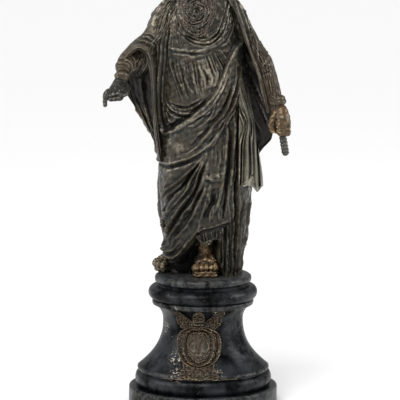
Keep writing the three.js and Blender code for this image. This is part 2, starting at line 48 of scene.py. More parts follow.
TAU = 2 * math.pi
# Share of the full number of grid steps.
FINE = 1.0
# Millimetres for each radian of turn on the unrolled surface of a draped form.
UNROLLED_RADIUS = 60
# Shape of a cross-section: 1 is an ellipse, and less is squarer.
SQUARENESS = 0.9
# A fold's half width at its foot, as a multiple of its half width half-way up.
FOOT_WIDTH = 1.75
# How strongly the highest of several meeting folds leads the others.
LEADING = 4
# Size of the voxels, in millimetres, in which hands and feet run together.
VOXEL = 0.7


def steps(count):
    return max(6, int(count * FINE))


# Curves

def through(stations):
    """Smooth curve through [position, value] stations, level beyond the first and the last. Between two
    stations it is the straight line plus s(1 - s) times a blend of how far the slopes at both depart
    from that line."""
    x, y = np.array(stations, float).T
    slopes = np.zeros(len(x))
    slopes[1:-1] = (y[2:] - y[:-2]) / (x[2:] - x[:-2])

    def value(at):
        at = np.clip(at, x[0], x[-1])
        i = np.clip(np.searchsorted(x, at, side="right") - 1, 0, len(x) - 2)
        span, rise = x[i + 1] - x[i], y[i + 1] - y[i]
        s = (at - x[i]) / span
        start, end = slopes[i] * span - rise, rise - slopes[i + 1] * span
        return y[i] + rise * s + s * (1 - s) * (start * (1 - s) + end * s)

    return value


def smooth_line(points, per_span=6):
    """Points of the Catmull-Rom curve through the given points: each span blends its four nearest
    points."""
    p = np.array(points, float)
    padded = np.vstack([2 * p[0] - p[1], p, 2 * p[-1] - p[-2]])
    t = np.linspace(0, len(p) - 1, per_span * (len(p) - 1) + 1)
    i = np.minimum(t.astype(int), len(p) - 2)
    f = (t - i)[:, None]
    a, b, c, d = padded[i], padded[i + 1], padded[i + 2], padded[i + 3]
    return 0.5 * (2 * b + (c - a) * f + (2 * a - 5 * b + 4 * c - d) * f**2 + (3 * b - a - 3 * c + d) * f**3)


def ease(x):
    """Rises from 0 to 1 with level ends."""
    x = np.clip(x, 0, 1)
    return x * x * (3 - 2 * x)


# Folds and layers of cloth on an unrolled surface

def fold(height, width, *points, right=None, start=0.2, end=0.2, crest=1.5):
    """A ridge, or a valley if its height is negative, along a line; width is to where it is half as
    high."""
    return {"line": smooth_line(points), "height": height, "start": start, "end": end, "crest": crest,
            "left": width * FOOT_WIDTH, "right": (right or width) * FOOT_WIDTH}


def bundle(count, height, width, first, last, **shape):
    """Folds spread unevenly from the first guide line to the last, each a little higher or lower than
    the next."""
    first, last = np.array(first, float), np.array(last, float)
    share = (np.arange(count) + 0.22 * np.sin(2.7 * np.arange(count))) / max(1, count - 1)
    return [fold(height * (1 + 0.3 * math.sin(2.4 * k + 1)), width, *(first + (last - first) * s), **shape)
            for k, s in enumerate(share)]


def wavering(line):
    """A line that strays a little to and fro, as a hand-drawn one does."""
    step = np.arange(len(line))
    return line + 0.45 * np.stack([np.sin(0.6 * step + line[0, 1]), np.sin(0.43 * step + line[0, 0])], -1)


def nearest(line, u, v):
    """Distance, side and share of its length of the nearest place on a line, for the grid of u by v."""
    start, step = line[:-1], np.diff(line, axis=0)
    pu = u[None, :, None] - start[:, 0]
    pv = v[:, None, None] - start[:, 1]
    s = np.clip((pu * step[:, 0] + pv * step[:, 1]) / (step**2).sum(1), 0, 1)
    du, dv = pu - s * step[:, 0], pv - s * step[:, 1]
    squared = du**2 + dv**2
    k = squared.argmin(-1)[..., None]
    pick = lambda a: np.take_along_axis(a, k, -1)[..., 0]
    side = np.sign(pick(step[:, 1] * pu - step[:, 0] * pv))
    return np.sqrt(pick(squared)), side, (k[..., 0] + pick(s)) / len(step)


def patch(line, reach, u, v):
    """The rows and columns of the grid that lie within reach of a line."""
    (u0, v0), (u1, v1) = line.min(0) - reach, line.max(0) + reach
    return slice(*np.searchsorted(v, [v0, v1])), slice(*np.searchsorted(u, [u0, u1]))


def lay_folds(relief, folds, u, v):
    """Adds folds: each is its height times (1 - q to the power crest) squared, where q is the distance
    from its line over its width, and it sinks and narrows towards its ends. Where folds meet, the
    higher one leads: they add up as the fourth root of the sum of their fourth powers."""
    raised, sunk = np.zeros_like(relief), np.zeros_like(relief)
    for f in folds:
        rows, columns = patch(f["line"], max(f["left"], f["right"]), u, v)
        if rows.start >= rows.stop or columns.start >= columns.stop:
            continue
        distance, side, t = nearest(f["line"], u[columns], v[rows])
        taper = ease(np.minimum(t / max(f["start"], 1e-6), (1 - t) / max(f["end"], 1e-6)))
        width = np.where(side > 0, f["right"], f["left"]) * (0.35 + 0.65 * taper)
        q = np.minimum(distance / width, 1)
        phase = f["line"][0, 1]
        uneven = 1 + 0.2 * np.sin(9 * t + phase) + 0.12 * np.sin(23 * t + 2 * phase)
        shape = abs(f["height"]) * (1 - q ** f["crest"]) ** 2 * taper * uneven
        part = raised if f["height"] > 0 else sunk
        part[rows, columns] += shape**LEADING
    relief += raised ** (1 / LEADING) - sunk ** (1 / LEADING)


def lay_layer(relief, outline, height, u, v, soft=1.2):
    """Raises the inside of an outline by a height, with a steep edge that is two soft widths across."""
    line = smooth_line(outline + outline[:1], 4)
    rows, columns = patch(line, soft, u, v)
    uu, vv = u[columns][None, :], v[rows][:, None]
    inside = np.zeros((vv.size, uu.size), bool)
    for (ua, va), (ub, vb) in zip(line[:-1], line[1:]):
        if va != vb:
            inside ^= ((va > vv) != (vb > vv)) & (uu < (ub - ua) * (vv - va) / (vb - va) + ua)
    distance = nearest(line, u[columns], v[rows])[0] * np.where(inside, 1, -1)
    relief[rows, columns] += height * ease(0.5 + distance / (2 * soft))


# Closed skins

def closed(grid):
    """A closed skin over rings of points [ring, around, xyz]: quads between rings and a fan on each end
    ring. It is turned outwards if its volume, summed from its corners, is negative."""
    rings, around = grid.shape[:2]
    points = np.vstack([grid.reshape(-1, 3), grid[0].mean(0), grid[-1].mean(0)])
    i = np.arange(around)
    j = np.arange(rings - 1)[:, None] * around
    nxt = (i + 1) % around
    quads = np.stack([i + j, nxt + j, nxt + j + around, i + j + around], -1).reshape(-1, 4)
    last = (rings - 1) * around
    fans = np.vstack([np.stack([np.full(around, rings * around), nxt, i], -1),
                      np.stack([np.full(around, rings * around + 1), last + i, last + nxt], -1)])
    a, b, c, d = (points[quads[:, k]] for k in range(4))
    volume = (a * np.cross(b, c)).sum() + (a * np.cross(c, d)).sum()
    if volume < 0:
        quads, fans = quads[:, ::-1], fans[:, ::-1]
    return points, quads, fans


def to_object(name, points, quads, fans, lift=PEDESTAL_TOP):
    """A mesh object in metres from points in millimetres, raised to the top of the pedestal."""
    mesh = bpy.data.meshes.new(name)
    places = (points + [0, 0, lift]) / 1000
    mesh.vertices.add(len(places))
    mesh.vertices.foreach_set("co", places.astype(np.float32).ravel())
    corners = np.concatenate([quads.ravel(), fans.ravel()])
    mesh.loops.add(len(corners))
    mesh.loops.foreach_set("vertex_index", corners.astype(np.int32))
    starts = np.concatenate([np.arange(len(quads)) * 4, len(quads) * 4 + np.arange(len(fans)) * 3])
    mesh.polygons.add(len(starts))
    mesh.polygons.foreach_set("loop_start", starts.astype(np.int32))
    mesh.update(calc_edges=True)
    made = bpy.data.objects.new(name, mesh)
    bpy.context.scene.collection.objects.link(made)
    return made


def baked(source, name):
    """The object's mesh with its modifiers applied, as a new plain object; the source is removed."""
    mesh = bpy.data.meshes.new_from_object(source.evaluated_get(bpy.context.evaluated_depsgraph_get()))
    made = bpy.data.objects.new(name, mesh)
    bpy.context.scene.collection.objects.link(made)
    bpy.data.objects.remove(source)
    mesh.name = name
    return made


def united(name, grids):
    """One closed mesh from overlapping closed skins."""
    first, *others = [to_object(f"{name}_{k}", *closed(grid)) for k, grid in enumerate(grids)]
    for other in others:
        union = first.modifiers.new("union", "BOOLEAN")
        union.operation = "UNION"
        union.solver = "MANIFOLD"
        union.object = other
    result = baked(first, name)
    for other in others:
        bpy.data.objects.remove(other)
    return result


def melted(name, grids, uneven):
    """One closed mesh from overlapping closed skins, remeshed in voxels and smoothed so that they run
    together. Each point is then shifted by ten small sine waves in random directions, as rough casting
    leaves it."""
    parts, points = [], 0
    for grid in grids:
        place, quads, fans = closed(grid)
        parts.append((place, quads + points, fans + points))
        points += len(place)
    made = to_object(f"{name}_skins", *(np.concatenate(part) for part in zip(*parts)))
    blocks = made.modifiers.new("blocks", "REMESH")
    blocks.mode = "VOXEL"
    blocks.voxel_size = VOXEL / 1000 / FINE
    relaxed = made.modifiers.new("relaxed", "SMOOTH")
    relaxed.factor = 0.5
    relaxed.iterations = 4
    result = baked(made, name)
    place = np.empty(3 * len(result.data.vertices), np.float32)
    result.data.vertices.foreach_get("co", place)
    place = place.reshape(-1, 3)
    chance = np.random.default_rng(len(grids))
    for _ in range(10):
        way = chance.normal(size=3) * 900
        wave = np.sin(place @ way + chance.uniform(0, TAU))[:, None]
        place += uneven / 1000 * wave * chance.normal(size=3)
    result.data.vertices.foreach_set("co", place.ravel())
    result.data.update()
    return result


def limb(path, radii, wide=1, up=(0, 0, 1), around=40, along=60, ripple=None):
    """A round or flattened limb with round ends along a smooth path, with its radii spread evenly along
    it. Each ring is the cosine and the sine of the angle times the radius, across the path, and
    ripple(angle, share of the length) is added to the radius. The rings crowd towards the ends."""
    curve = smooth_line(path, 24)
    run = np.concatenate([[0], np.cumsum(np.linalg.norm(np.diff(curve, axis=0), axis=1))])
    t = (1 - np.cos(np.pi * np.linspace(0, 1, steps(along) + 1))) / 2
    middle = np.stack([np.interp(t * run[-1], run, curve[:, k]) for k in range(3)], -1)
    tangent = np.stack([np.interp(t * run[-1], run, np.gradient(curve[:, k], run)) for k in range(3)], -1)
    tangent /= np.linalg.norm(tangent, axis=1, keepdims=True)
    side = np.cross(tangent, np.array(up, float))
    side /= np.linalg.norm(side, axis=1, keepdims=True)
    normal = np.cross(side, tangent)
    angle = np.linspace(0, TAU, steps(around), endpoint=False)[None, :]
    t = t[:, None]
    radius = through([[k / (len(radii) - 1), r] for k, r in enumerate(radii)])(t) + 0 * angle
    if ripple:
        radius = radius + ripple(angle, t)
    to_end = np.minimum(t, 1 - t) * run[-1]
    radius = radius * np.sqrt(np.clip(1 - (1 - np.minimum(to_end / radius, 1)) ** 2, 0.004, 1))
    return (middle[:, None] + side[:, None] * (np.cos(angle) * radius * wide)[..., None]
            + normal[:, None] * (np.sin(angle) * radius)[..., None])


# Robe and mantle: each station is height, left, right, front, back and how far back its middle lies

BODY = [
    [0, -41, 46, 30, 34], [14, -42, 47, 32, 35], [25, -47, 48, 32, 35], [33, -46, 50, 33, 36],
    [42, -41.5, 53, 34, 36], [56, -44, 54, 36, 37], [73, -47.6, 56, 37, 38], [103, -50.5, 59, 39, 39],
    [133, -52, 62, 40, 40], [164, -51.5, 63, 40, 40], [194, -54.6, 60, 40, 38], [224, -59, 56, 38, 36],
    [255, -61, 52, 36, 34], [285, -62, 48, 33, 33], [300, -60, 44, 31, 32], [318, -54, 40, 27, 29],
    [332, -46, 37, 22, 26], [343, -34, 32, 17, 22], [351, -20, 16, 14, 17], [366, -17, 9, 12, 14],
]
MANTLE_BACK = [
    [112, -43, 52, -14, 40], [130, -52, 61, -10, 44], [148, -56, 68, -4, 47], [158, -58, 75, -2, 48],
    [170, -62.5, 85, 0, 48], [182, -68, 87, 2, 48], [209, -84, 84, 3, 47], [224, -93, 81, 4, 46],
    [240, -96.5, 78, 5, 45], [255, -93, 72, 6, 43], [270, -87, 66, 7, 42], [285, -79, 59, 8, 40],
    [300, -68, 53, 9, 38], [315, -60, 48, 10, 35], [330, -52, 42, 10, 31], [341, -42, 36, 10, 26],
    [349, -30, 26, 8, 20], [354, -21, 17, 4, 14],
]
RIGHT_SLEEVE = [
    [246, -84, -76, 4, 4, -4], [249, -90, -71, 8, 8, -5], [253, -97, -68, 12, 11, -6],
    [258, -103, -64, 17, 15, -8], [263, -106, -61, 22, 18, -9], [270, -105, -58, 27, 20, -10],
    [277, -100, -56, 27, 22, -8], [285, -93.5, -54, 26, 23, -6], [292.6, -85, -50, 26, 24, -5],
    [300, -75, -45, 26, 24, -3], [308, -70, -40, 26, 25, -2], [315, -67, -36, 25, 25, -1],
    [323, -63.5, -32, 23, 24, 0], [331, -59.5, -28, 20, 22, 0], [338, -53.5, -26, 17, 20, 0],
    [345, -45, -22, 13, 17, 0], [350, -37, -19, 9, 12, 0], [353, -32, -23, 5, 7, 1],
    [354, -29, -26, 1.5, 2, 1],
]
LEFT_SLEEVE = [
    [202, 86, 96, 5, 5, -31], [207, 83, 98.5, 10, 10, -30], [216, 80, 99, 12, 12, -28],
    [226, 76, 97, 14, 13, -25], [238, 73, 94.5, 17, 15, -22], [250, 69, 91.5, 18, 17, -18],
    [262, 65, 88, 19, 18, -14], [273, 60, 84, 20, 19, -11], [280, 57, 78.5, 20, 19, -9],
    [288, 53, 73, 20, 19, -7], [305, 47, 64, 19, 18, -4], [320, 41, 55.5, 18, 18, -2],
    [335, 34, 47.5, 16, 16, 0], [345, 29, 41, 13, 14, 2], [350, 24.6, 36.4, 9, 11, 3],
    [353.6, 25, 33, 5, 6, 3], [354.6, 28, 30, 1.5, 2, 3],
]


class Draped:
    """A draped form: rounded cross-sections through its stations, and a relief on its unrolled surface.
    The relief starts as nine faint waves in random directions, strongest in front, as hand-pressed clay
    has them. The columns of the grid crowd towards the front."""

    def __init__(self, stations, around, along, crowd):
        table = np.array([[*row, 0][:6] for row in stations], float)
        curves = (through(table[:, [0, k]]) for k in range(1, 6))
        self.left, self.right, self.front, self.back, self.set_back = curves
        even = np.linspace(-np.pi, np.pi, steps(around), endpoint=False)
        self.angle = even - crowd * np.sin(even)
        self.height = np.linspace(table[0, 0], table[-1, 0], steps(along) + 1)
        self.u = self.angle * UNROLLED_RADIUS
        self.relief = np.zeros((self.height.size, self.angle.size))
        chance = np.random.default_rng(len(stations))
        for _ in range(9):
            way, phase, size = chance.uniform(0, TAU, 2).tolist() + [chance.uniform(6, 19)]
            along_wave = np.cos(way) * self.u[None, :] + np.sin(way) * self.height[:, None]
            in_front = np.abs(np.sin(self.angle / 2 + np.pi / 2))
            self.relief += 0.014 * size * np.sin(along_wave * TAU / size + phase) * in_front

    def unrolled(self, points):
        """Turns points [across, height] as seen from the front into places on the unrolled surface.
        Points that lie beyond the outline go round its sides."""
        x, h = np.array(points, float).T
        middle, half = (self.left(h) + self.right(h)) / 2, (self.right(h) - self.left(h)) / 2
        share = (x - middle) / half
        seen = np.clip(share, -1, 1)
        turn = np.arcsin(np.sign(seen) * np.abs(seen) ** (1 / SQUARENESS))
        turn = turn + np.sign(share) * 2 * np.clip(np.abs(share) - 1, 0, 1)
        return np.stack([turn * UNROLLED_RADIUS, h], -1)

    def lay(self, folds):
        """Lays folds whose points are [across, height] as seen from the front."""
        placed = [{**f, "line": wavering(self.unrolled(f["line"]))} for f in folds]
        lay_folds(self.relief, placed, self.u, self.height)

    def lay_round(self, folds):
        """Lays folds given on the unrolled surface, and repeats them past the seam at the back."""
        whole = TAU * UNROLLED_RADIUS
        for shift in (-whole, 0, whole):
            placed = [{**f, "line": f["line"] + [shift, 0]} for f in folds]
            lay_folds(self.relief, placed, self.u, self.height)

    def swell(self, height, middle, half_across, half_up, lean=0):
        """Raises a smooth oval: its height times (1 - r squared) squared, where r is 1 at its half
        sizes."""
        (u, v), = self.unrolled([middle])
        up = self.height[:, None] - v
        across = self.u[None, :] - u - lean * up
        r = np.hypot(across / half_across, up / half_up)
        self.relief += height * np.clip(1 - r**2, 0, 1) ** 2

    def layer(self, outline, height, soft=1.2):
        """Raises a layer of cloth whose outline is [across, height] as seen from the front."""
        lay_layer(self.relief, [tuple(p) for p in self.unrolled(outline)], height, self.u, self.height, soft)

    def grid(self):
        """Each point is on its section, where sine and cosine of the turn are raised to the power of the
        squareness, and is pushed out along the section's normal by the relief."""
        h, turn = self.height[:, None], self.angle[None, :]
        half = (self.right(h) - self.left(h)) / 2
        s, c = np.sin(turn), np.cos(turn)
        depth = np.where(c > 0, self.front(h), self.back(h))
        bow = lambda w: np.sign(w) * np.abs(w) ** SQUARENESS
        outward = np.stack([s / half, -c / np.maximum(np.abs(depth), 1) * np.sign(depth + 0.01)], -1)
        outward /= np.linalg.norm(outward, axis=-1, keepdims=True)
        x = (self.left(h) + self.right(h)) / 2 + half * bow(s) + self.relief * outward[..., 0]
        y = self.set_back(h) - depth * bow(c) + self.relief * outward[..., 1]
        return np.stack([x, y, np.broadcast_to(h, x.shape)], -1)


# Lines of the mantle on the front, as [across, height]. FAR is well past the silhouette.
FAR = 400
BORDER = [(-38.8, 344), (-43, 328), (-46, 310), (-48, 297), (-49.5, 280), (-51, 262), (-53, 244),
          (-53.5, 226),
          (-52.6, 208), (-50.6, 194), (-48, 185), (-44.4, 180.6), (-38.6, 184.6), (-31, 190.6), (-22.4, 197),
          (-7.5, 209), (8.5, 224.4), (16.5, 236), (22, 250), (28, 266), (34, 279), (40, 289), (47, 298)]
LOWER_HEM = [(34, 73), (29, 70), (19.5, 66.5), (10.5, 64), (1.6, 62), (-6, 58), (-9.5, 55), (-15, 46),
             (-23, 35), (-31, 25), (-39, 21), (-47, 24), (-53, 31)]
FOOT_HOLLOW = [(-46, -6), (-46, 6), (-42, 12), (-38, 14), (-31, 18.5), (-23, 29), (-15.5, 40), (-9, 49),
               (-5, 45), (2, 41), (10, 41.5), (13, 46), (18, 47), (20, 38), (20.5, 18), (20.5, -6)]
# Rise, middle, half size across, half size up and lean of the forms that press through the cloth.
BROAD_FORMS = [
    (2, (-24, 256), 17, 24), (3.4, (9, 254), 16, 26), (2, (-10, 232), 30, 20),
    (4, (-36, 168), 20, 16, 0.4), (8, (13, 150), 23, 72, 0.08), (6, (-38, 112), 22, 60, 0.05),
    (-2.5, (-12, 120), 14, 50, 0.2),
]
OVERLAP_HEM = [(-58, 145), (-49, 143.5), (-39, 143.5), (-31, 145), (-21, 149.5), (-7, 156), (0, 161)]


def robed_body():
    """The robe and the front of the mantle, from the ground to the neck."""
    body = Draped(BODY, 290, 320, 0.4)
    body.layer(BORDER + [(60, 300), (FAR, 350), (FAR, 126), (42, 126)] + LOWER_HEM
               + [(-FAR, 34), (-FAR, 344)], 3.6, 1.6)
    body.layer(OVERLAP_HEM + [(10, 171), (25, 189), (43, 232), (44, 270)] + BORDER[:11:-1]
               + [(-58, 190), (-FAR, 190), (-FAR, 145)], 2.4)
    body.layer(FOOT_HOLLOW, -24, 1.6)
    for form in BROAD_FORMS:
        body.swell(*form)
    for part in (hems, shoulder_folds, tunic_folds, hip_folds, thigh_folds, shin_folds, ground_folds):
        body.lay(part())
    body.lay(fine_folds())
    body.lay_round(skirt_back())
    return body.grid()


def inner_wall():
    """A near-black core behind the hollow where the left foot comes out: painted shade, so that nothing
    shows through it.
    """
    return limb([(-22, 9, -2), (-21, 9, 24), (-17, 8, 52)], [14, 15, 12], wide=1.3, up=(0, 1, 0), along=20)


def tassel():
    """The small knob at the mantle's corner over the right shin."""
    return limb([(-48, -8, 71), (-50.6, -8, 64.6), (-49.4, -8, 58)], [2.6, 3.6, 2], around=20, along=20)


def hems():
    """Rolled edges of the mantle and the dark furrows that lie along them."""
    inside = [(x + 4.4, h) for x, h in BORDER[:9]]
    return [
        fold(1.9, 1.2, *BORDER, right=1.8, start=0.02, end=0.3),
        fold(-3.2, 2, *inside, start=0.05, end=0.1),
        fold(1.8, 1.4, *LOWER_HEM, start=0.02, end=0.02),
        fold(1.4, 1.2, *OVERLAP_HEM, start=0.05, end=0.1),
        fold(-2.4, 1.8, (-58, 141), (-48, 139), (-38, 139.5), (-29, 141), (-18, 146), (-6, 152), (2, 158)),
        fold(-3, 1.9, (-46, 187.6), (-38, 192), (-27, 198.6), (-14, 206.6), (-3, 216), (8, 228),
             start=0.1, end=0.2),
    ]


def shoulder_folds():
    """Folds of the mantle that fall from the right shoulder to the hip."""
    return [
        fold(3.4, 1.6, (-43, 343), (-50, 332), (-54, 320), (-56, 304), (-57, 284), (-56, 262), (-57, 240),
             (-57.5, 205)),
        fold(4, 1.8, (-52, 339), (-58, 328), (-60, 318), (-62, 300), (-62, 280), end=0.4),
        fold(3, 1.4, (-40, 341), (-46.5, 329.5), (-51, 317), (-52.5, 305), (-53, 285), (-53.6, 262),
             end=0.3),
        fold(2, 1.2, (-42, 330), (-44, 322), (-45.6, 312), (-47, 300)),
        fold(4, 2, (-61, 240), (-60, 215), (-57.6, 190), (-56, 165), (-55.5, 148), start=0.25, end=0.08),
        fold(3, 1.6, (-56, 235), (-55.4, 205), (-54, 180), (-52, 160), start=0.25),
        fold(-3, 1.7, (-48.5, 335), (-54, 312), (-55, 285), (-55, 250), (-55.3, 200), start=0.08, end=0.3),
        fold(-3, 1.7, (-57, 330), (-60, 300), (-59.4, 250), (-57.6, 200), (-54.5, 165), start=0.08),
        *bundle(4, 1.3, 0.9, [(-44, 334), (-50, 314), (-53, 290), (-54, 262)],
                [(-56, 332), (-60, 312), (-61, 290), (-60, 262)], start=0.2, end=0.3),
        *bundle(3, 1.2, 0.9, [(-53.6, 214), (-53.2, 190), (-52.6, 160)],
                [(-59, 214), (-57, 190), (-55, 160)]),
    ]


def tunic_folds():
    """Neckline folds under the beard, the breast band and the fine pleats that fall from it."""
    pleat = {"start": 0.3, "end": 0.35, "crest": 1.3}
    return [
        fold(3.2, 1.5, (-33, 336), (-29, 318), (-23.4, 306), (-12.5, 300), (-1.8, 297), (6.2, 298),
             (14, 304), (20, 314), (25, 330), (28, 348), start=0.08, end=0.05),
        fold(2.5, 1.2, (-34, 328), (-29.5, 311), (-20.5, 300.5), (-9, 294.4), (-1.8, 292.6), (6.5, 293),
             (14.4, 297.5), (22, 307), (29, 325), (33, 345), start=0.08, end=0.05),
        fold(1.8, 1.1, (-27, 302), (-16, 293), (-4, 288.8), (7, 289), (16, 294), (26, 303), (33, 315)),
        fold(1.6, 1, (-31, 316), (-25, 305.6), (-15, 297.6), (-3, 295), (7, 295.6), (16, 301), (24, 313)),
        *bundle(5, 1.4, 0.9, [(13, 291), (23, 300), (30, 316), (34, 338)],
                [(21, 287), (31, 292), (37, 303), (40, 322)]),
        *bundle(4, 1.3, 0.9, [(-40, 332), (-43, 312), (-44.6, 290)], [(-32, 318), (-34, 303), (-31, 288)]),
        fold(-1.8, 1.1, (-30, 313), (-22, 303), (-10, 297.6), (4, 295.4), (12, 299), (20, 309), (26, 325)),
        fold(-1.6, 1.1, (-29, 306), (-18, 296.4), (-4, 291), (8, 291.4), (17, 297), (27, 310)),
        fold(1.3, 1.4, (-44, 288), (-37, 285.4), (-28, 283.6), (-15, 282.8), (-2, 283.4), (8, 286),
             (18, 291), (28, 295.4), (36, 299), start=0.12, end=0.3),
        fold(1.2, 1, (8, 285), (16, 284.6), (25, 282.4), (33, 281), (39, 283), start=0.3),
        fold(-1.4, 1.3, (-42, 281), (-26, 279.6), (-10, 279), (4, 280), (12, 282)),
        *bundle(8, 1.8, 1.3, [(-42, 278), (-38.5, 260), (-31, 238), (-20, 214)],
                [(-5, 273), (-3.4, 258), (-1, 242), (1, 226)], **pleat),
        *bundle(8, -1.2, 1, [(-40, 280), (-36, 262), (-29, 240), (-19, 216)],
                [(-3, 280), (-1.4, 262), (1, 244), (3, 228)], **pleat),
        *bundle(6, 2, 1.1, [(1, 281), (5, 267), (9.6, 252), (11, 238)],
                [(19, 287), (24, 278.6), (29.6, 270), (34, 262)], **pleat),
        *bundle(5, -1.6, 0.9, [(4, 280), (8, 265), (12, 252), (13, 241)],
                [(17, 284), (22, 276), (27, 267), (31, 260)], **pleat),
        *bundle(11, 0.7, 0.7, [(-43, 276), (-40, 258), (-34, 236), (-27, 216)],
                [(6, 276), (9, 262), (12, 246), (12, 236)], start=0.4, end=0.3),
        fold(3.4, 2.2, (-4, 263), (0, 252), (3, 243), (3.6, 233)),
        fold(3.2, 2.2, (5, 266), (9, 256), (10.6, 246), (8, 236)),
        fold(2.8, 1.7, (-24.5, 252), (-17, 240), (-10, 229)),
        fold(2.4, 1.4, (-27, 244), (-22, 233.6), (-16.4, 222)),
        fold(2.8, 1.7, (-13, 250), (-8.6, 239), (-5, 228)),
        fold(-2.4, 1.3, (0.6, 262), (4.6, 250), (5.8, 238)),
        fold(2, 2.6, (14, 264), (17.6, 254), (15.4, 245), (12, 239), crest=2),
        fold(2.2, 1.3, (-49, 224), (-42, 213.4), (-31, 207.6), (-19, 205.4), (-7, 209)),
        fold(2, 1.2, (-41, 215), (-33, 211.6), (-24, 211), (-12, 214), (-2, 221)),
        fold(1.6, 1.1, (-46, 212), (-38, 202.6), (-29, 199.6), (-20, 201.4)),
        fold(-3, 1.7, (-46, 216), (-38, 206.4), (-28, 202.6), (-17, 202.6), (-9, 206)),
        fold(-2.4, 1.5, (-42, 220), (-33, 214.6), (-22, 214), (-9, 218), (2, 226)),
        fold(2.4, 1.3, (-49.5, 220), (-48, 207), (-46, 196), (-43, 188.6)),
        fold(1.8, 1.1, (-46, 207), (-43, 199), (-38, 192.6)),
        fold(-3, 1.4, (-48, 214), (-46.6, 200), (-44, 190)),
    ]


def hip_folds():
    """Ridges that sweep from the gathers at the left arm across the hip to the right thigh."""
    sharp = {"crest": 1.2, "start": 0.15, "end": 0.3}
    return [
        fold(2.2, 1.7, (34, 274), (29, 250), (20, 230), (9, 216), (-2, 206), (-14, 197.6), (-28, 188),
             (-42, 180.6), start=0.15, end=0.15),
        fold(1.4, 1.1, (32, 266), (26, 244), (17, 225), (6, 211), (-8, 200), (-22, 191.6)),
        fold(2.6, 1.6, (30, 262), (24, 240), (15, 219), (8.2, 203), (1.2, 195.5), (-7, 191), **sharp),
        fold(2, 1.3, (18, 226), (10, 212), (3.8, 205), (-1.9, 199), (-8.8, 194), **sharp),
        fold(1.5, 1.1, (2, 203), (-6, 196), (-13, 192), (-19, 190)),
        fold(-2.4, 1.4, (33, 262), (27, 243), (17, 222), (8, 207), (-2, 197)),
        fold(4.2, 2.1, (38, 274), (37, 249), (32, 227), (24, 208), (12, 193), (5, 182), (-5, 169),
             (-14, 159.5), (-24, 150), right=1.6, **sharp),
        fold(4.2, 2.1, (43, 268), (43.5, 249), (39, 229), (31.5, 211), (23, 192), (16, 181), (9.8, 171),
             (0, 162), (-9, 155), right=1.6, **sharp),
        fold(3.4, 1.8, (46, 256), (45, 239), (40.5, 219), (32.5, 203), (26, 192), (19.5, 184), (12.5, 172),
             (6, 164), (-2, 157), right=1.5, **sharp),
        fold(2.8, 1.5, (40.5, 262), (40, 240), (35, 219), (28, 204), (18, 189), (10.5, 179), (2, 169),
             **sharp),
        fold(2.2, 1.2, (35.5, 255), (33, 235), (28, 218), (19, 204), (10, 195), (2, 187), **sharp),
        fold(1.8, 1.1, (36, 244), (31, 222), (22, 205), (13, 192), (4, 180), (-6, 171), **sharp),
        fold(-3.4, 1.8, (35, 250), (30, 228), (24, 213), (14, 199), (5, 188), (-5, 176), (-15, 164)),
        fold(-3, 1.6, (42, 250), (37, 226), (29, 206), (20, 191), (12, 180), (2, 168)),
        fold(-2.4, 1.4, (45, 246), (42, 226), (34, 206), (25, 191), (17, 181), (9, 169)),
    ]


def thigh_folds():
    """The long folds beside the left knee and the deep furrow along the mantle's hanging end."""
    return [
        fold(3.8, 3, (27, 212), (27.5, 180), (25, 140), (20, 108), (17, 80), start=0.3),
        fold(-3.6, 2.6, (31.5, 205), (32, 170), (30, 135), (25.6, 95), (24, 76), start=0.25),
        fold(3.4, 2.6, (36, 230), (37, 190), (35.6, 148), (31.5, 110), (31, 80), start=0.2),
        fold(-8, 3.2, (42, 225), (43.4, 185), (42.8, 150), (41.4, 118), (41, 84), start=0.2, end=0.1),
        fold(1.6, 1.4, (2, 133), (6, 127), (12, 125)), fold(1.4, 1.2, (12, 135), (16, 129), (21, 130)),
        fold(-1.6, 1.6, (4, 126), (9, 121), (18, 124), end=0.4),
        fold(2, 1.8, (9, 120), (7, 108), (9, 92)),
        fold(-2, 2, (14, 116), (12, 100), (14, 84)),
        fold(1.8, 2, (18, 168), (19, 150), (17, 136), start=0.4, end=0.4),
    ]


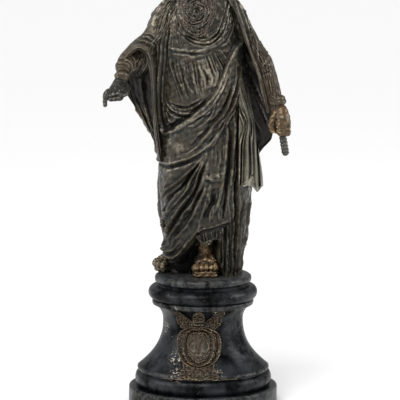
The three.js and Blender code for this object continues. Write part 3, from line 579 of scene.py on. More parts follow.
def shin_folds():
    """The fan of folds drawn from the left thigh down to the right foot."""
    fan = [
        [(-2, 150), (-14, 137), (-27, 124), (-38, 112), (-45, 101), (-48, 93)],
        [(0, 150), (-10.6, 132), (-19, 113), (-28.5, 97), (-39, 81), (-49, 66)],
        [(3.5, 156), (-2.3, 140), (-8, 122), (-14, 107), (-24, 94), (-31, 82), (-39, 66), (-43.4, 48),
         (-47, 34)],
        [(8.4, 158), (3.8, 138), (-2.3, 121), (-8, 104), (-17, 89), (-24, 78), (-31, 64), (-37.5, 50),
         (-41.5, 34)],
        [(6, 130), (0, 109), (-7, 94), (-12, 80), (-19, 67), (-27, 56), (-34, 44), (-38, 31)],
        [(4, 100), (-1, 82), (-5, 66), (-8, 56)],
    ]
    middle = lambda a, b: [((p[0] + q[0]) / 2, (p[1] + q[1]) / 2) for p, q in zip(a, b)]
    return [
        *[fold(5.6 - 0.4 * k, 3, *line, right=2, start=0.2, end=0.12, crest=1.2) for k,
          line in enumerate(fan)],
        *[fold(-4, 2.4, *middle(fan[k], fan[k + 1]), start=0.25, end=0.08) for k in (0, 2)],
        fold(-4, 2.6, (3, 120), (-4, 104), (-11, 88), (-18, 74), (-27, 61), (-35, 48), start=0.2, end=0.1),
        fold(2.6, 1.6, (3, 114), (-4, 97), (-11, 84), (-20, 71), (-30, 57), (-36, 45), start=0.2, end=0.1),
        fold(2.4, 1.5, (-3, 134), (-11, 116), (-20, 101), (-31, 86), (-42, 70), start=0.2, end=0.2),
        fold(2, 1.4, (-10, 139), (-20, 125), (-31, 112), (-41, 101), (-47, 92), start=0.3, end=0.2),
        fold(4, 3, (-50, 33), (-42, 31), (-33, 36), (-24, 48), start=0.15),
        fold(-2.6, 2, (-52, 30), (-42, 28), (-31, 33), (-22, 43)),
        fold(3.4, 2.6, (-46, 25), (-36, 24), (-28, 31), (-19, 43), (-11, 54), start=0.15, end=0.15),
        fold(3, 2.6, (25, 128), (21, 108), (14, 88), (8, 70), start=0.3),
        fold(-3, 2.4, (16, 112), (9, 92), (2, 74), start=0.3), fold(2.2, 1.6, (14, 96), (9, 82), (7, 68)),
        fold(1.8, 1.4, (21, 96), (19, 82), (19, 70)), fold(-2, 1.6, (27, 100), (25, 84), (24, 72)),
    ]


def ground_folds():
    """The under-robe below the mantle: hollows round the feet, pleats to the ground and the deep gap."""
    return [
        fold(-21, 8, (-24, -6), (-20, 16), (-12, 38), right=8, start=0, end=0.2, crest=2.4),
        fold(-22, 10, (3, -6), (2, 16), (1, 38), right=9, start=0, end=0.2, crest=2.4),
        *bundle(6, 4, 1.7, [(17, 60), (17.4, 30), (17, -2)], [(37, 76), (35, 36), (34, -2)],
                start=0.1, end=0),
        *bundle(3, -3, 1.5, [(22, 60), (22, 30), (22, -2)], [(34, 74), (32.5, 36), (32, -2)],
                start=0.1, end=0),
        fold(-16, 3.4, (43, 128), (42.6, 96), (42, 80), (41, 64), (40, 44), (38.5, 21), (38, -2), end=0,
             crest=2.6),
        fold(4.4, 2.2, (53, 100), (49, 78), (46, 58), (45, 36), (43, 14), (43, -2), end=0),
        fold(3.4, 2, (60, 106), (56, 80), (54, 56), (50, 30), (48, -2), end=0),
        fold(-3, 1.7, (56, 96), (52, 74), (50, 52), (48, 28), (46.4, -2), end=0),
        *bundle(5, 2.6, 1.3, [(-6, 56), (-3, 50), (-1, 42)], [(14, 63), (13, 52), (11, 43)]),
        *bundle(4, 3, 1.4, [(-8, 49), (1, 44), (11, 47)], [(-6, 39), (1, 35), (11, 38)]),
    ]


def fine_folds():
    """Thin secondary folds that run between the larger ones."""
    low = {"start": 0.4, "end": 0.4}
    return [
        *bundle(8, 0.9, 0.8, [(22, 236), (8, 214), (-10, 199), (-30, 184)],
                [(39, 232), (27, 206), (11, 187), (-6, 172)], **low),
        *bundle(8, 1, 0.9, [(-8, 148), (-22, 130), (-38, 112), (-50, 98)],
                [(2, 124), (-6, 100), (-20, 76), (-36, 52)], **low),
        *bundle(5, 0.8, 1, [(-50, 134), (-50, 112), (-48, 96)], [(-30, 136), (-38, 122), (-46, 108)], **low),
        *bundle(6, 0.8, 0.9, [(4, 170), (4, 150), (2, 132)], [(34, 196), (33, 160), (29, 130)], **low),
        *bundle(7, 0.9, 0.9, [(2, 118), (-3, 96), (-7, 72)], [(31, 120), (29, 98), (27, 78)], **low),
        *bundle(5, 0.7, 0.9, [(-30, 296), (-28, 304), (-26, 312)], [(30, 300), (33, 312), (35, 326)], **low),
    ]


def skirt_back():
    """Hanging folds of the robe at the back, below the mantle."""
    half = math.pi * UNROLLED_RADIUS
    return [*bundle(6, 5, 4.4, [(half - 86, 135), (half - 72, 60), (half - 80, -2)],
                    [(half + 80, 135), (half + 76, 60), (half + 68, -2)], start=0.2, end=0),
            *bundle(5, 2.8, 2.2, [(half - 70, 118), (half - 62, 60), (half - 56, -2)],
                    [(half + 62, 118), (half + 56, 60), (half + 64, -2)], start=0.3, end=0),
            *bundle(5, -2.4, 1.8, [(half - 78, 126), (half - 68, 60), (half - 68, -2)],
                    [(half + 70, 126), (half + 66, 60), (half + 60, -2)], start=0.3, end=0)]


def mantle_back():
    """The back of the mantle and its two sides, which hang from the arms behind the body."""
    mantle = Draped(MANTLE_BACK, 210, 150, -0.2)
    mantle.lay([
        fold(2.6, 1.8, (-95, 252), (-90, 226), (-78, 196), (-66, 172), start=0.1, end=0.1),
        fold(-2, 2, (-88, 254), (-84, 226), (-73, 198), (-64, 176)),
        fold(2.4, 2, (-78, 262), (-76, 230), (-69, 200), (-62, 178)),
        fold(-1.8, 2, (-72, 262), (-70, 226), (-65, 196)),
        fold(3, 2, (46, 262), (52.5, 249), (61.2, 232), (73.8, 204), (82, 186), start=0.1, end=0.1),
        fold(2.6, 1.8, (50, 272), (56.2, 257), (66, 234), (78, 206)),
        fold(2.2, 1.8, (41, 317), (47, 302), (52, 286), (60, 266)),
        fold(-2.2, 1.8, (49, 262), (57, 245), (69, 218)),
        fold(2, 1.6, (58, 210), (66, 190), (74, 176)),
        fold(1.8, 1.3, (69, 156), (78, 164), (86, 173), start=0.05),
    ])
    half = math.pi * UNROLLED_RADIUS
    mantle.lay_round([
        *bundle(7, 5, 4.4, [(half - 76, 336), (half - 80, 250), (half - 72, 180), (half - 62, 110)],
                [(half - 44, 347), (half - 2, 292), (half + 44, 228), (half + 70, 156)],
                start=0.06, end=0.05),
        *bundle(6, 1.6, 1.5, [(half - 70, 316), (half - 72, 250), (half - 60, 176)],
                [(half - 32, 330), (half + 10, 272), (half + 52, 200)], start=0.3, end=0.3),
        *bundle(3, 4, 3.2, [(half + 46, 346), (half + 36, 318), (half + 40, 286)],
                [(half + 78, 338), (half + 84, 290), (half + 80, 228)], start=0.08, end=0.35),
        *bundle(4, 3, 2.6, [(half - 36, 338), (half + 14, 300), (half + 58, 244), (half + 80, 176)],
                [(half + 30, 344), (half + 52, 316), (half + 84, 276), (half + 98, 214)],
                start=0.15, end=0.15),
        *bundle(5, 1.3, 1.3, [(half - 20, 330), (half + 30, 286), (half + 74, 220)],
                [(half + 36, 336), (half + 66, 300), (half + 96, 246)], start=0.3, end=0.3),
        fold(3.2, 2.8, (half - 40, 348), (half - 16, 337), (half + 14, 336), (half + 40, 348)),
        fold(2.6, 2.2, (half - 30, 338), (half, 326), (half + 34, 334)),
    ])
    return mantle.grid()


def mantle_tail():
    """The gathered end of the mantle over the left hip: pleats that open towards a stepped hem. Its
    front is a bow that falls back with the 2.2nd power of the share across, less the pleats; its back
    is 7 mm behind."""
    wide, top, bottom = 40, 262, 110
    share = np.linspace(0, 1, steps(120))
    t = np.linspace(0, 1, steps(150))
    level = top - t * (top - bottom)
    left = through([[0, 47.2], [0.12, 45.4], [0.4, 44.6], [1, 44]])(t)
    right = through([[0, 48.4], [0.12, 52], [0.32, 60], [0.68, 69], [1, 75]])(t)
    at = lambda curve, h: np.interp(-h, -level, curve)
    place = lambda points: [((x - at(left, h)) / at(right - left, h) * wide, top - h) for x, h in points]
    pleats = [(4.6, 2.4, [(44, 265), (46.9, 200), (45.6, 165), (45, 128), (44.5, 100)]),
              (2.6, 1.4, [(45.2, 265), (51.3, 200), (49.3, 165), (48.6, 128), (47.5, 106)]),
              (5.6, 4.2, [(46.6, 265), (55, 200), (54.4, 165), (54.6, 128), (54, 112)]),
              (3.4, 1.8, [(47.5, 265), (60, 200), (59.6, 165), (60.8, 128), (60.6, 116)]),
              (4.8, 2.8, [(48.4, 265), (62.6, 200), (64.6, 165), (66, 128), (66.5, 112)]),
              (4.2, 2.4, [(49, 265), (64, 214), (69, 165), (72.6, 128), (73.6, 112)]),
              (1.6, 0.5, [(49.6, 262), (66, 200), (70.8, 160), (74, 126), (74.3, 112)]),
              (1.6, 0.5, [(50.6, 258), (67.4, 206), (71.8, 166), (74.6, 132), (74.8, 112)]),
              (-3.6, 1.3, [(45.9, 265), (49, 200), (47.4, 165), (46.8, 128), (46, 106)]),
              (-3.4, 1.4, [(47, 265), (57.5, 200), (57, 165), (57.8, 128), (57.2, 114)]),
              (-3.4, 1.4, [(48.6, 265), (63.3, 206), (67, 165), (69.4, 128), (70, 112)])]
    relief = np.zeros((t.size, share.size))
    folds = [fold(1.2 * height, width, *place(line), start=0.1, end=0.02, crest=1.8)
             for height, width, line in pleats]
    lay_folds(relief, folds, share * wide, top - level)
    hem = through([[0, 118], [0.16, 115], [0.36, 119], [0.58, 124], [0.66, 119], [0.72, 107], [1, 112]])
    drop, across = t[:, None], share[None, :]
    x = left[:, None] + (right - left)[:, None] * across + 0 * drop
    z = top - drop * (top - hem(across))
    base = -through([[0, 31], [0.15, 38], [0.4, 41], [0.7, 41], [1, 39]])(drop) + 30 * across**2.2
    skin = lambda y: np.stack([x, y, z], -1)
    front, back = skin(base - relief * ease(drop / 0.2)), skin(base + 7)
    return np.concatenate([front, back[:, ::-1]], axis=1)


# Arms

def right_sleeve():
    """The mantle over the right shoulder and upper arm, and the wrinkled forearm sleeve that comes from
    under it."""
    sleeve = Draped(RIGHT_SLEEVE, 130, 124, 0.25)
    arches = [[(-104, 264), (-98, 277), (-91, 286), (-82, 290.5), (-74, 290), (-67, 284), (-63, 274)],
              [(-92, 287), (-84, 294), (-75, 295.4), (-67, 291), (-61, 281)],
              [(-84, 295), (-76, 299.6), (-68, 299), (-61, 292), (-58, 284)],
              [(-76, 301), (-69, 304), (-62, 301), (-57, 294)]]
    sleeve.lay([
        *bundle(6, 2.6, 1.2, [(-44, 346), (-55, 334), (-61, 319), (-65, 300)],
                [(-29, 348), (-35, 334), (-41, 316), (-46, 298)], start=0.1, end=0.3),
        *bundle(5, -2.2, 1, [(-42, 345), (-53, 332), (-59.6, 317), (-63, 300)],
                [(-30, 346), (-37, 332), (-43, 316), (-47, 300)], start=0.1, end=0.3),
        fold(1.4, 1.2, (-62, 324), (-68, 315), (-72, 307)),
        *[fold(1.9 - 0.25 * k, 1.1, *arch, start=0.3, end=0.3) for k, arch in enumerate(arches)],
        *[fold(-1.8, 1, *[(x + 2, h - 2.4) for x, h in arch], start=0.3, end=0.3) for arch in arches[1:]],
        *[fold(2, 1.3, *line, start=0.25, end=0.25) for line in (
            [(-73, 285), (-74, 274), (-80, 263), (-87, 255)],
            [(-68, 280), (-69, 268), (-74, 257), (-80, 249)],
            [(-79, 286), (-81, 276), (-88, 266)], [(-65, 272), (-66, 260), (-70, 250)])],
        *[fold(-2, 1.2, *line, start=0.25, end=0.25) for line in (
            [(-76, 286), (-77, 275), (-84, 264), (-91, 257)],
            [(-70.5, 282), (-71.5, 270), (-77, 259), (-83, 251)],
            [(-66.6, 276), (-67.6, 264), (-72, 253)])],
    ])
    edge = [(-104, -24, 257), (-101.6, -31, 265.6), (-95, -37, 275.6), (-86.4, -39, 284.6),
            (-78, -39, 288.4),
            (-70, -39, 283.6), (-65, -38, 273), (-62.4, -37, 257), (-61, -36, 236), (-60, -35, 212),
            (-58, -34, 188), (-55.6, -30, 168), (-54, -24, 154), (-52.4, -16, 144)]
    gathers = lambda angle, t: (
        0.9 * np.cos(5 * angle + 2 * t) + 0.5 * np.cos(9 * angle - 3 * t)) * ease(t / 0.1)
    wrinkles = lambda angle, t: ease((t - 0.15) / 0.15) * (
        0.9 * np.cos(70 * t + 1.3 * np.sin(angle + 0.6) + 0.7 * np.sin(2 * angle))
        + 0.5 * np.cos(103 * t - 1.2 * np.sin(angle) + 0.8 * np.sin(3 * angle)))
    cuff = lambda angle, t: (
        0.3 * np.cos(6 * angle) + 0.5 * np.cos(2.5 * TAU * t) - 1.2 * ease((t - 0.92) / 0.08))
    half = math.pi * UNROLLED_RADIUS
    sleeve.lay_round(bundle(6, 2.2, 2.4, [(half - 84, 330), (half - 78, 292), (half - 86, 258)],
                            [(half + 74, 340), (half + 62, 302), (half + 68, 258)], start=0.2, end=0.2))
    return [
        sleeve.grid(),
        falling_sheet(),
        limb(edge, [4, 6, 7.6, 8.4, 8.4, 7.4, 6.2, 5.2, 4.8, 4.8, 5, 5, 5, 4.6], wide=0.4, up=(0, 1, 0.001),
             along=150, ripple=gathers),
        limb([(-81, -8, 276), (-90, -25, 272), (-96.6, -42, 265.6), (-99.4, -51, 256)], [10.6, 11.2, 10, 9],
             around=70, along=120, ripple=wrinkles),
        limb([(-98.6, -47, 261), (-99.4, -51, 253), (-99.8, -53, 245.6)], [8.6, 9.4, 9.4], around=60,
             along=34, ripple=cuff),
    ]


def falling_sheet():
    """The sheet of cloth from the mantle's falling edge back to the body: a flat oval section at each
    height, shifted sideways by two sines of its depth so that shallow folds run down it."""
    low, high = 148, 284
    h = np.linspace(low, high, steps(110))[:, None]
    angle = np.linspace(0, TAU, steps(100), endpoint=False)[None, :]
    middle = through([[low, -52.6], [166, -55], [188, -57.6], [236, -60], [262, -62.6], [high, -71]])(h)
    front = through([[low, -12], [166, -27], [188, -33], [236, -36], [270, -37], [high, -33]])(h)
    back = through([[low, -3], [166, 1], [236, 3], [high, 1]])(h)
    y = (front + back) / 2 + (back - front) / 2 * np.sin(angle)
    waves = 1.1 * np.sin(y / 2.3 + h / 40) + 0.5 * np.sin(y / 1.1 - h / 25)
    x = middle + 2.2 * np.cos(angle) + waves * ease((high - h) / 20)
    return np.stack([x, y, np.broadcast_to(h, x.shape)], -1)


def left_sleeve():
    """The mantle over the left shoulder and arm, its long front edge and the sleeve's turned cuff."""
    sleeve = Draped(LEFT_SLEEVE, 130, 156, 0.25)
    sleeve.lay([
        fold(3.4, 2, (40, 347), (47.5, 331), (54, 314.7), (59.8, 294.3), (62.5, 282), (66, 262),
             start=0.1, end=0.5),
        fold(2.8, 1.6, (44, 343), (51, 328), (61, 303), (68, 287), end=0.4),
        fold(2, 1.2, (62, 303), (66, 290), (68, 277), (70.5, 266)),
        fold(1.5, 1, (70, 262), (76, 268), (82, 277)),
        fold(1.8, 1.1, (70, 296), (76, 284), (84, 276)), fold(-2, 1.1, (67, 292), (73, 280), (81, 273.6)),
        fold(-1.5, 1, (71, 272), (75, 266), (80, 262), (86, 263)),
        fold(1.4, 1, (72, 258), (78, 262), (84, 270)),
        fold(-1.4, 0.9, (72, 254), (78, 256), (85, 262)), fold(1.6, 1, (76, 292), (80, 284), (85, 279)),
        fold(1.8, 1.5, (80, 262), (84, 248), (87, 232), (88, 218), start=0.4),
        fold(1.6, 1.3, (73, 254), (78, 240), (83, 224)),
        fold(-1.7, 1.3, (77, 258), (81, 242), (85, 222)), fold(-1.8, 1.3, (84, 256), (88, 242), (91, 224)),
        fold(1.6, 1.3, (88, 254), (91, 240), (94, 224), start=0.4),
        fold(1.5, 1.2, (70, 246), (75, 234), (80, 220)),
        fold(1.5, 1.1, (82, 230), (88, 226), (94, 229)), fold(1.5, 1.1, (81, 222), (88, 218), (96, 220)),
        fold(1.4, 1.1, (76, 266), (82, 256), (86, 244)),
    ])
    edge = [(33, 3, 343), (38.6, -9, 344), (44.5, -18, 326), (50.6, -23, 307), (57, -27, 287),
            (63, -31, 271), (69.8, -34, 250), (75.4, -36.4, 228), (80.4, -38, 207)]
    roll = lambda angle, t: 0.35 * np.cos(3 * angle + 9 * t) + 0.2 * np.cos(31 * t)
    turned = lambda angle, t: (
        1.4 * np.abs(np.cos(1.5 * TAU * t + 0.5 * np.sin(angle))) - 0.9 + 0.2 * np.cos(5 * angle))
    return [
        sleeve.grid(),
        limb(edge, [1.8, 1.8, 2.1, 2.3, 2.4, 2.4, 2.3, 2.1, 1.3], wide=1.2, around=26, along=130,
             ripple=roll),
        limb([(89.6, -29, 228), (93, -32, 221), (94.6, -34, 213)], [8.2, 9.2, 9], wide=1.03, up=(0, 1, 0),
             around=76, along=60, ripple=turned),
    ]


# Hands and feet

def finger(path, thick=3.2):
    """A finger with a slight swell at each joint."""
    swell = lambda angle, t: 0.16 * np.cos(TAU * 3 * t)
    return limb(path, [thick, thick * 0.98, thick * 0.8], around=18, along=22, ripple=swell)


def right_hand():
    """The right hand, held out palm down, with the forefinger dropped and the others closed under the
    palm."""
    closed_fingers = [[(-112.5 + 4.8 * k, -80 - k, 238), (-113.4 + 5 * k, -86.4 + 0.6 * k, 234),
                       (-112 + 5 * k, -83.6 + k, 229.6), (-107 + 4.4 * k, -76 + k, 231.4)] for k in range(3)]
    return [
        limb([(-99.8, -50, 252), (-103.5, -60, 241.6), (-107.5, -72, 237.6), (-110, -79, 236.6)],
             [7.2, 8.6, 8.6, 7], along=44),
        limb([(-97, -55, 243), (-99, -66, 238), (-102, -76, 234.4)], [6, 6.8, 6], around=36, along=30),
        finger([(-110, -75, 240), (-116.8, -86, 237.4), (-118.8, -88.6, 230.6), (-118.4, -87, 220)], 3.5),
        finger([(-94.6, -56, 243.6), (-92.6, -65, 239.6), (-94.6, -73, 235), (-101, -79, 232.6)], 4),
        *[finger(path, 3.6) for path in closed_fingers],
    ]


def left_hand():
    """The left hand closed round the rod, seen from the back of the hand."""
    fingers = [finger([(94.4 + 3 * k, -38.6 + 0.8 * k, 206), (93.4 + 3.7 * k, -44.6 + 1.2 * k, 194),
                       (94 + 3.6 * k, -46.4 + 1.3 * k, 186.4), (95.6 + 3 * k, -42 + k, 180.6),
                       (97 + 2.2 * k, -36 + k, 183)], 3.9 - 0.12 * k) for k in range(4)]
    return [
        limb([(95, -32, 217), (96.6, -35.4, 207), (98, -38, 196), (98, -37.4, 186)], [6.8, 8.6, 9.8, 8.4],
             wide=1.02,
             up=(0, 1, 0), around=44, along=50),
        limb([(90.6, -34, 207), (89.4, -37, 196), (90.4, -38, 187), (93, -38, 181.6)], [5, 6.2, 5.8, 4.8],
             around=30, along=30),
        finger([(90.6, -37, 210), (85.8, -41, 200), (83.8, -43.6, 190.4), (87.6, -44.6, 182.6)], 4.2),
        *fingers,
    ]


def left_foot():
    """The left sandalled foot on a thick sole: instep, laced ankle, five toes side by side and their
    straps. Its places are a share of its length, a share of its half width and a height."""
    half_width = 16
    at = lambda share, side, h: (2.9 + half_width * side, 3 - 35 * share, h)
    side_and_thickness = (0.76, 2.7), (0.43, 2.9), (0.08, 3.1), (-0.28, 3.3), (-0.72, 4.4)
    toe_row = [limb([at(0.62, side, 11), at(0.88 + 0.03 * k, side * 1.02, 12.4), at(1 + 0.02 * k, side, 9)],
                    [4.4, 5, 4.6], wide=thick / 4.4, around=22, along=24)
               for k, (side, thick) in enumerate(side_and_thickness)]
    sole = lambda h, thick, wide: limb([at(share, 0, h) for share in (-0.05, 0.5, 1.06)],
                                       [0.85 * thick, thick, thick, 0.9 * thick],
                                       wide=half_width * wide / thick, around=60, along=40)
    strap = lambda *points: limb([at(*p) for p in points], [1.7, 2, 1.7], wide=1.2, around=14, along=40)
    laced = lambda angle, t: 1.1 * np.abs(np.cos(11 * t + 0.7 * np.sin(2 * angle))) - 0.4
    return [
        sole(2.8, 2.8, 1), sole(6, 2, 0.95),
        limb([at(0.05, 0, 18), at(0.36, 0, 19.5), at(0.66, 0, 14.5), at(0.88, 0, 10.5)], [7.6, 9, 7.6, 5],
             wide=1.53, around=44, along=40),
        limb([(2.5, -8, 52), (2.6, -10, 38), (2.8, -8, 20)], [8, 8.4, 9.6], around=44, along=60,
             ripple=laced),
        *toe_row,
        strap((0.34, -0.05, 30), (0.52, -0.42, 25.4), (0.72, -0.8, 17)),
        strap((0.34, 0.05, 30), (0.52, 0.42, 25.4), (0.72, 0.8, 17)),
        strap((0.36, 0, 30.4), (0.58, 0, 26.2), (0.84, 0, 20)),
        strap((0.84, -1, 9), (0.78, -0.55, 18.8), (0.76, 0, 21.4), (0.78, 0.55, 18.8), (0.84, 1, 9)),
    ]


def right_foot():
    """The right foot, turned out behind the hem: a rounded instep on a thick sole, and three curled
    toes."""
    toes = [[(-55, 13, 15), (-60, 6, 13), (-59.6, 4, 7)], [(-51, 7, 15), (-56, -0.6, 13), (-55.6, -2, 7)],
            [(-46, 4, 14), (-50.4, -4, 12), (-50.2, -5, 6.6)]]
    return [
        limb([(-36, 24, 44), (-38, 26, 27), (-43, 24, 17)], [8, 8.4, 9.4], around=36, along=30),
        limb([(-38, 30, 12), (-48, 19, 12.4), (-55, 11, 10.6)], [9, 9.6, 8], along=40),
        limb([(-39, 29, 4), (-49, 16, 4.2), (-56, 5, 4.6)], [4, 4.4, 4], wide=2.2, around=50, along=40),
        *[finger(path, 4 - 0.3 * k) for k, path in enumerate(toes)],
        limb([(-59, 16, 14), (-53, 8, 19.6), (-45, 3, 16)], [1.5, 1.9, 1.5], around=14, along=30),
        limb([(-53, 22, 18), (-47, 15, 22.6), (-40, 10, 19)], [1.5, 1.9, 1.5], around=14, along=30),
    ]


# Head

HEAD_CENTRE = (-6, -9, 386)
HEAD_HALF = (19.5, 24, 29)
BEARD = [
    [301, -12, 0, 22, 6, -16], [305, -20, 7, 26, 8, -13], [312, -27, 12, 29, 10, -11],
    [322, -31, 16, 30, 12, -9], [334, -32, 18, 29, 14, -7], [346, -31, 19, 26, 16, -5],
    [356, -29, 18.5, 23, 18, -5], [364, -27, 16.5, 20, 20, -7], [370, -24, 13, 16, 18, -8],
    [374, -19, 8, 10, 14, -10],
]
HAIR = [
    [352, -28, 16, 10, 22, 3], [360, -32, 20, 12, 25, 3], [372, -33, 21, 14, 27, 3],
    [386, -31.6, 19.6, 17, 27, 2], [398, -29.6, 17.6, 22, 26, 0], [405, -27.4, 15.4, 23.4, 24, -2],
    [411, -23.8, 11.8, 21, 21, -3], [415.4, -19, 7, 16, 16.5, -3], [418.4, -13.4, 1.4, 9.4, 10.4, -3],
    [420, -8.6, -3.4, 3, 3.4, -3],
]


def curls(u, v, size, seed):
    """Locks of hair: round each jittered centre the height is the cosine of the turn plus the distance
    times a pitch, so that every lock is a spiral, and the nearest centre leads."""
    rows, columns = int(np.ptp(v) / size) + 2, int(np.ptp(u) / size) + 2
    j, i = (a.ravel() for a in np.mgrid[0:rows, 0:columns])
    chance = np.random.default_rng(seed)
    cu = u.min() + (i + 0.5 * (j % 2)) * size + chance.uniform(-0.25, 0.25, i.size) * size
    cv = v.min() + j * size + chance.uniform(-0.25, 0.25, i.size) * size
    spin = np.where(cu < 0, -1, 1) * chance.choice([-1, 1, 1, 1], i.size)
    start = chance.uniform(0, TAU, i.size)
    du, dv = u[None, :, None] - cu, v[:, None, None] - cv
    distance = np.sqrt(du**2 + dv**2)
    k = distance.argmin(-1)[..., None]
    pick = lambda a: np.take_along_axis(np.broadcast_to(a, distance.shape), k, -1)[..., 0]
    turn, away = np.arctan2(pick(dv), pick(du)), pick(distance)
    wave = np.cos(pick(spin) * turn + away * TAU / (0.42 * size) + pick(start))
    return wave * ease(away / (0.12 * size)) + 0.9 * (1 - (away / (0.62 * size)) ** 2)


def head():
    """An egg with brow, eyes, nose, cheeks and lips laid on it. Each mound is its height times (1 - r
    squared) squared, and its row is height, across, up, half across and half up."""
    cx, cy, cz = HEAD_CENTRE
    hx, hy, hz = HEAD_HALF
    even = np.linspace(-np.pi, np.pi, steps(156), endpoint=False)
    turn = (even - 0.5 * np.sin(even))[None, :]
    lift = (np.linspace(-0.49, 0.49, steps(134)) * np.pi)[:, None]
    flat, z = np.cos(lift) ** 0.85, hz * np.sin(lift)
    across = turn * hx
    relief = np.zeros((z.size, turn.size))
    mounds = [(0.9, 0, 8.5, 4, 4), (2.6, 0, -5.6, 3.2, 3.2)]
    lines = [
        fold(3.7, 2.5, (0, 9), (0, 0), (0, -7.4), start=0.55, end=0.1, crest=1.7),
        fold(-1.1, 0.9, (-3, -8.8), (3, -8.8), start=0.3, end=0.3),
        fold(1.9, 1.5, (-6, -13.6), (-2, -12.4), (0, -12.9), (2, -12.4), (6, -13.6), start=0.3, end=0.3),
        fold(2.1, 1.7, (-5, -16), (0, -17.2), (5, -16), start=0.3, end=0.3),
        fold(-1.5, 0.7, (-5.4, -14.5), (0, -14.7), (5.4, -14.5), start=0.15, end=0.15),
        fold(-0.5, 0.8, (-9, 15), (0, 16), (9, 15)), fold(-0.4, 0.8, (-7, 19), (0, 20), (7, 19)),
    ]
    for s in (-1, 1):
        mounds += [(-3.7, s * 8, 2.2, 7.4, 5.6), (2.2, s * 8, 8.6, 9, 3.6), (2.9, s * 8.2, 1.5, 4.9, 3.1),
                   (1.7, s * 3.1, -6.8, 2.1, 2.1), (1.8, s * 12.4, -4.6, 8, 6.5), (-1.4, s * 19, 8, 6, 9),
                   (-0.8, s * 6.4, -4, 3.4, 3.4)]
        lines += [
            fold(1.3, 0.65, (s * 3.8, 1), (s * 5.6, 3.4), (s * 8.6, 4.1), (s * 11.2, 2.9), (s * 13, 0.6),
                 start=0.15, end=0.15),
            fold(1, 0.6, (s * 4.2, 0.4), (s * 8.2, -1.5), (s * 12.4, 0.4), start=0.2, end=0.2),
            fold(-0.8, 0.6, (s * 4.6, 5), (s * 8.6, 5.9), (s * 12.8, 4.2)),
            fold(-0.7, 0.9, (s * 4.4, -7.4), (s * 7, -11), (s * 8.4, -14), start=0.2, end=0.4),
            *[fold(0.7, 0.8, (s * (3 + 3 * k), 7.6 + 0.6 * k),
                   (s * (6.4 + 3 * k), 9.4 - 0.3 * k)) for k in range(3)],
        ]
    for height, u, v, half_across, half_up in mounds:
        relief += height * np.clip(1 - ((across - u) / half_across) ** 2 - ((z - v) / half_up) ** 2, 0,
                                   1) ** 2
    lay_folds(relief, lines, across.ravel(), z.ravel())
    jaw = 1 - 0.2 * ease(-z / hz)
    x = cx + (hx * jaw * flat + relief) * np.sin(turn)
    y = cy - (hy * jaw * flat + relief) * np.cos(turn)
    return np.stack([x, y, np.broadcast_to(cz + z, x.shape)], -1)


def hair_and_beard():
    """Wavy hair that frames the face, the moustache and the full beard of swirled curls."""
    beard = Draped(BEARD, 190, 160, 0.35)
    across, up = beard.u[None, :] / 2.3 + 1, beard.height[:, None] - 334
    away, turn = np.hypot(across, up), np.arctan2(up, across)
    rings = away * TAU / 4.8 + turn + 1.1 * np.sin(4 * turn + away / 2.5) + 0.6 * np.sin(7 * turn - away / 2)
    beard.relief += 1.15 * np.cos(rings) * (0.7 + 0.5 * np.sin(5 * turn + away / 1.7))
    beard.relief += 0.45 * curls(beard.u, (beard.height - 335) * 2.3, 17, 11)
    hair = Draped(HAIR, 176, 130, 0)
    turn, h = hair.angle[None, :], hair.height[:, None]
    strand = np.cos(turn * 26 + 1.6 * np.sin(h / 4 + 3 * turn))
    hair.relief += 0.8 * strand * ease((420 - h) / 14)
    hair.relief += 0.8 * curls(hair.u, (hair.height - 380) * 2.3, 22, 9) * ease((388 - h) / 16)
    cx, cy, cz = HEAD_CENTRE
    twist = lambda angle, t: 0.45 * np.cos(4 * angle + 11 * t)
    tuft = lambda angle, t: 0.6 * np.cos(3 * angle + 24 * t) + 0.5 * np.cos(5 * angle - 31 * t)
    on_side = lambda s, points: [(cx + s * x, cy + y, cz + z) for x, y, z in points]
    moustache = [(0.7, -21.6, -10.6), (4.6, -21.6, -11.8), (9.2, -19, -15.4), (12.6, -16.4, -21),
                 (13.4, -15.4, -26)]
    whisker = [(11.6, -14, -20), (15.4, -9, -14), (18.2, -4.4, -5), (19, -1, 5), (18, 1, 13)]
    ear = [(19, 2, 5), (21, 4, 0), (19, 3, -7)]
    tufts = [
        *[limb(on_side(s, moustache), [1.7, 2.7, 3, 2.6, 1.4], around=34, ripple=twist) for s in (-1, 1)],
        *[limb(on_side(s, whisker), [5, 5, 4.4, 3.4, 2.2], around=50, along=90, ripple=tuft) for s in (-1,
                                                                                                       1)],
        *[limb(on_side(s, ear), [2.6, 3.4, 2.2], wide=0.7, around=20, along=24) for s in (-1, 1)],
    ]
    return [hair.grid(), beard.grid(), *tufts]


# Pedestal and coat of arms

WAIST_HEIGHT = 108
WAIST_RADIUS = 50.5


def drum_radius(z):
    """Radius of the waisted drum at a height: the waist's, plus powers of the drop below it and the
    rise above."""
    bell = (np.maximum(WAIST_HEIGHT - z, 0) / 60) ** 2.3 * 32.5
    cove = (np.maximum(z - WAIST_HEIGHT, 0) / 18.5) ** 2.2 * 9
    return WAIST_RADIUS + bell + cove


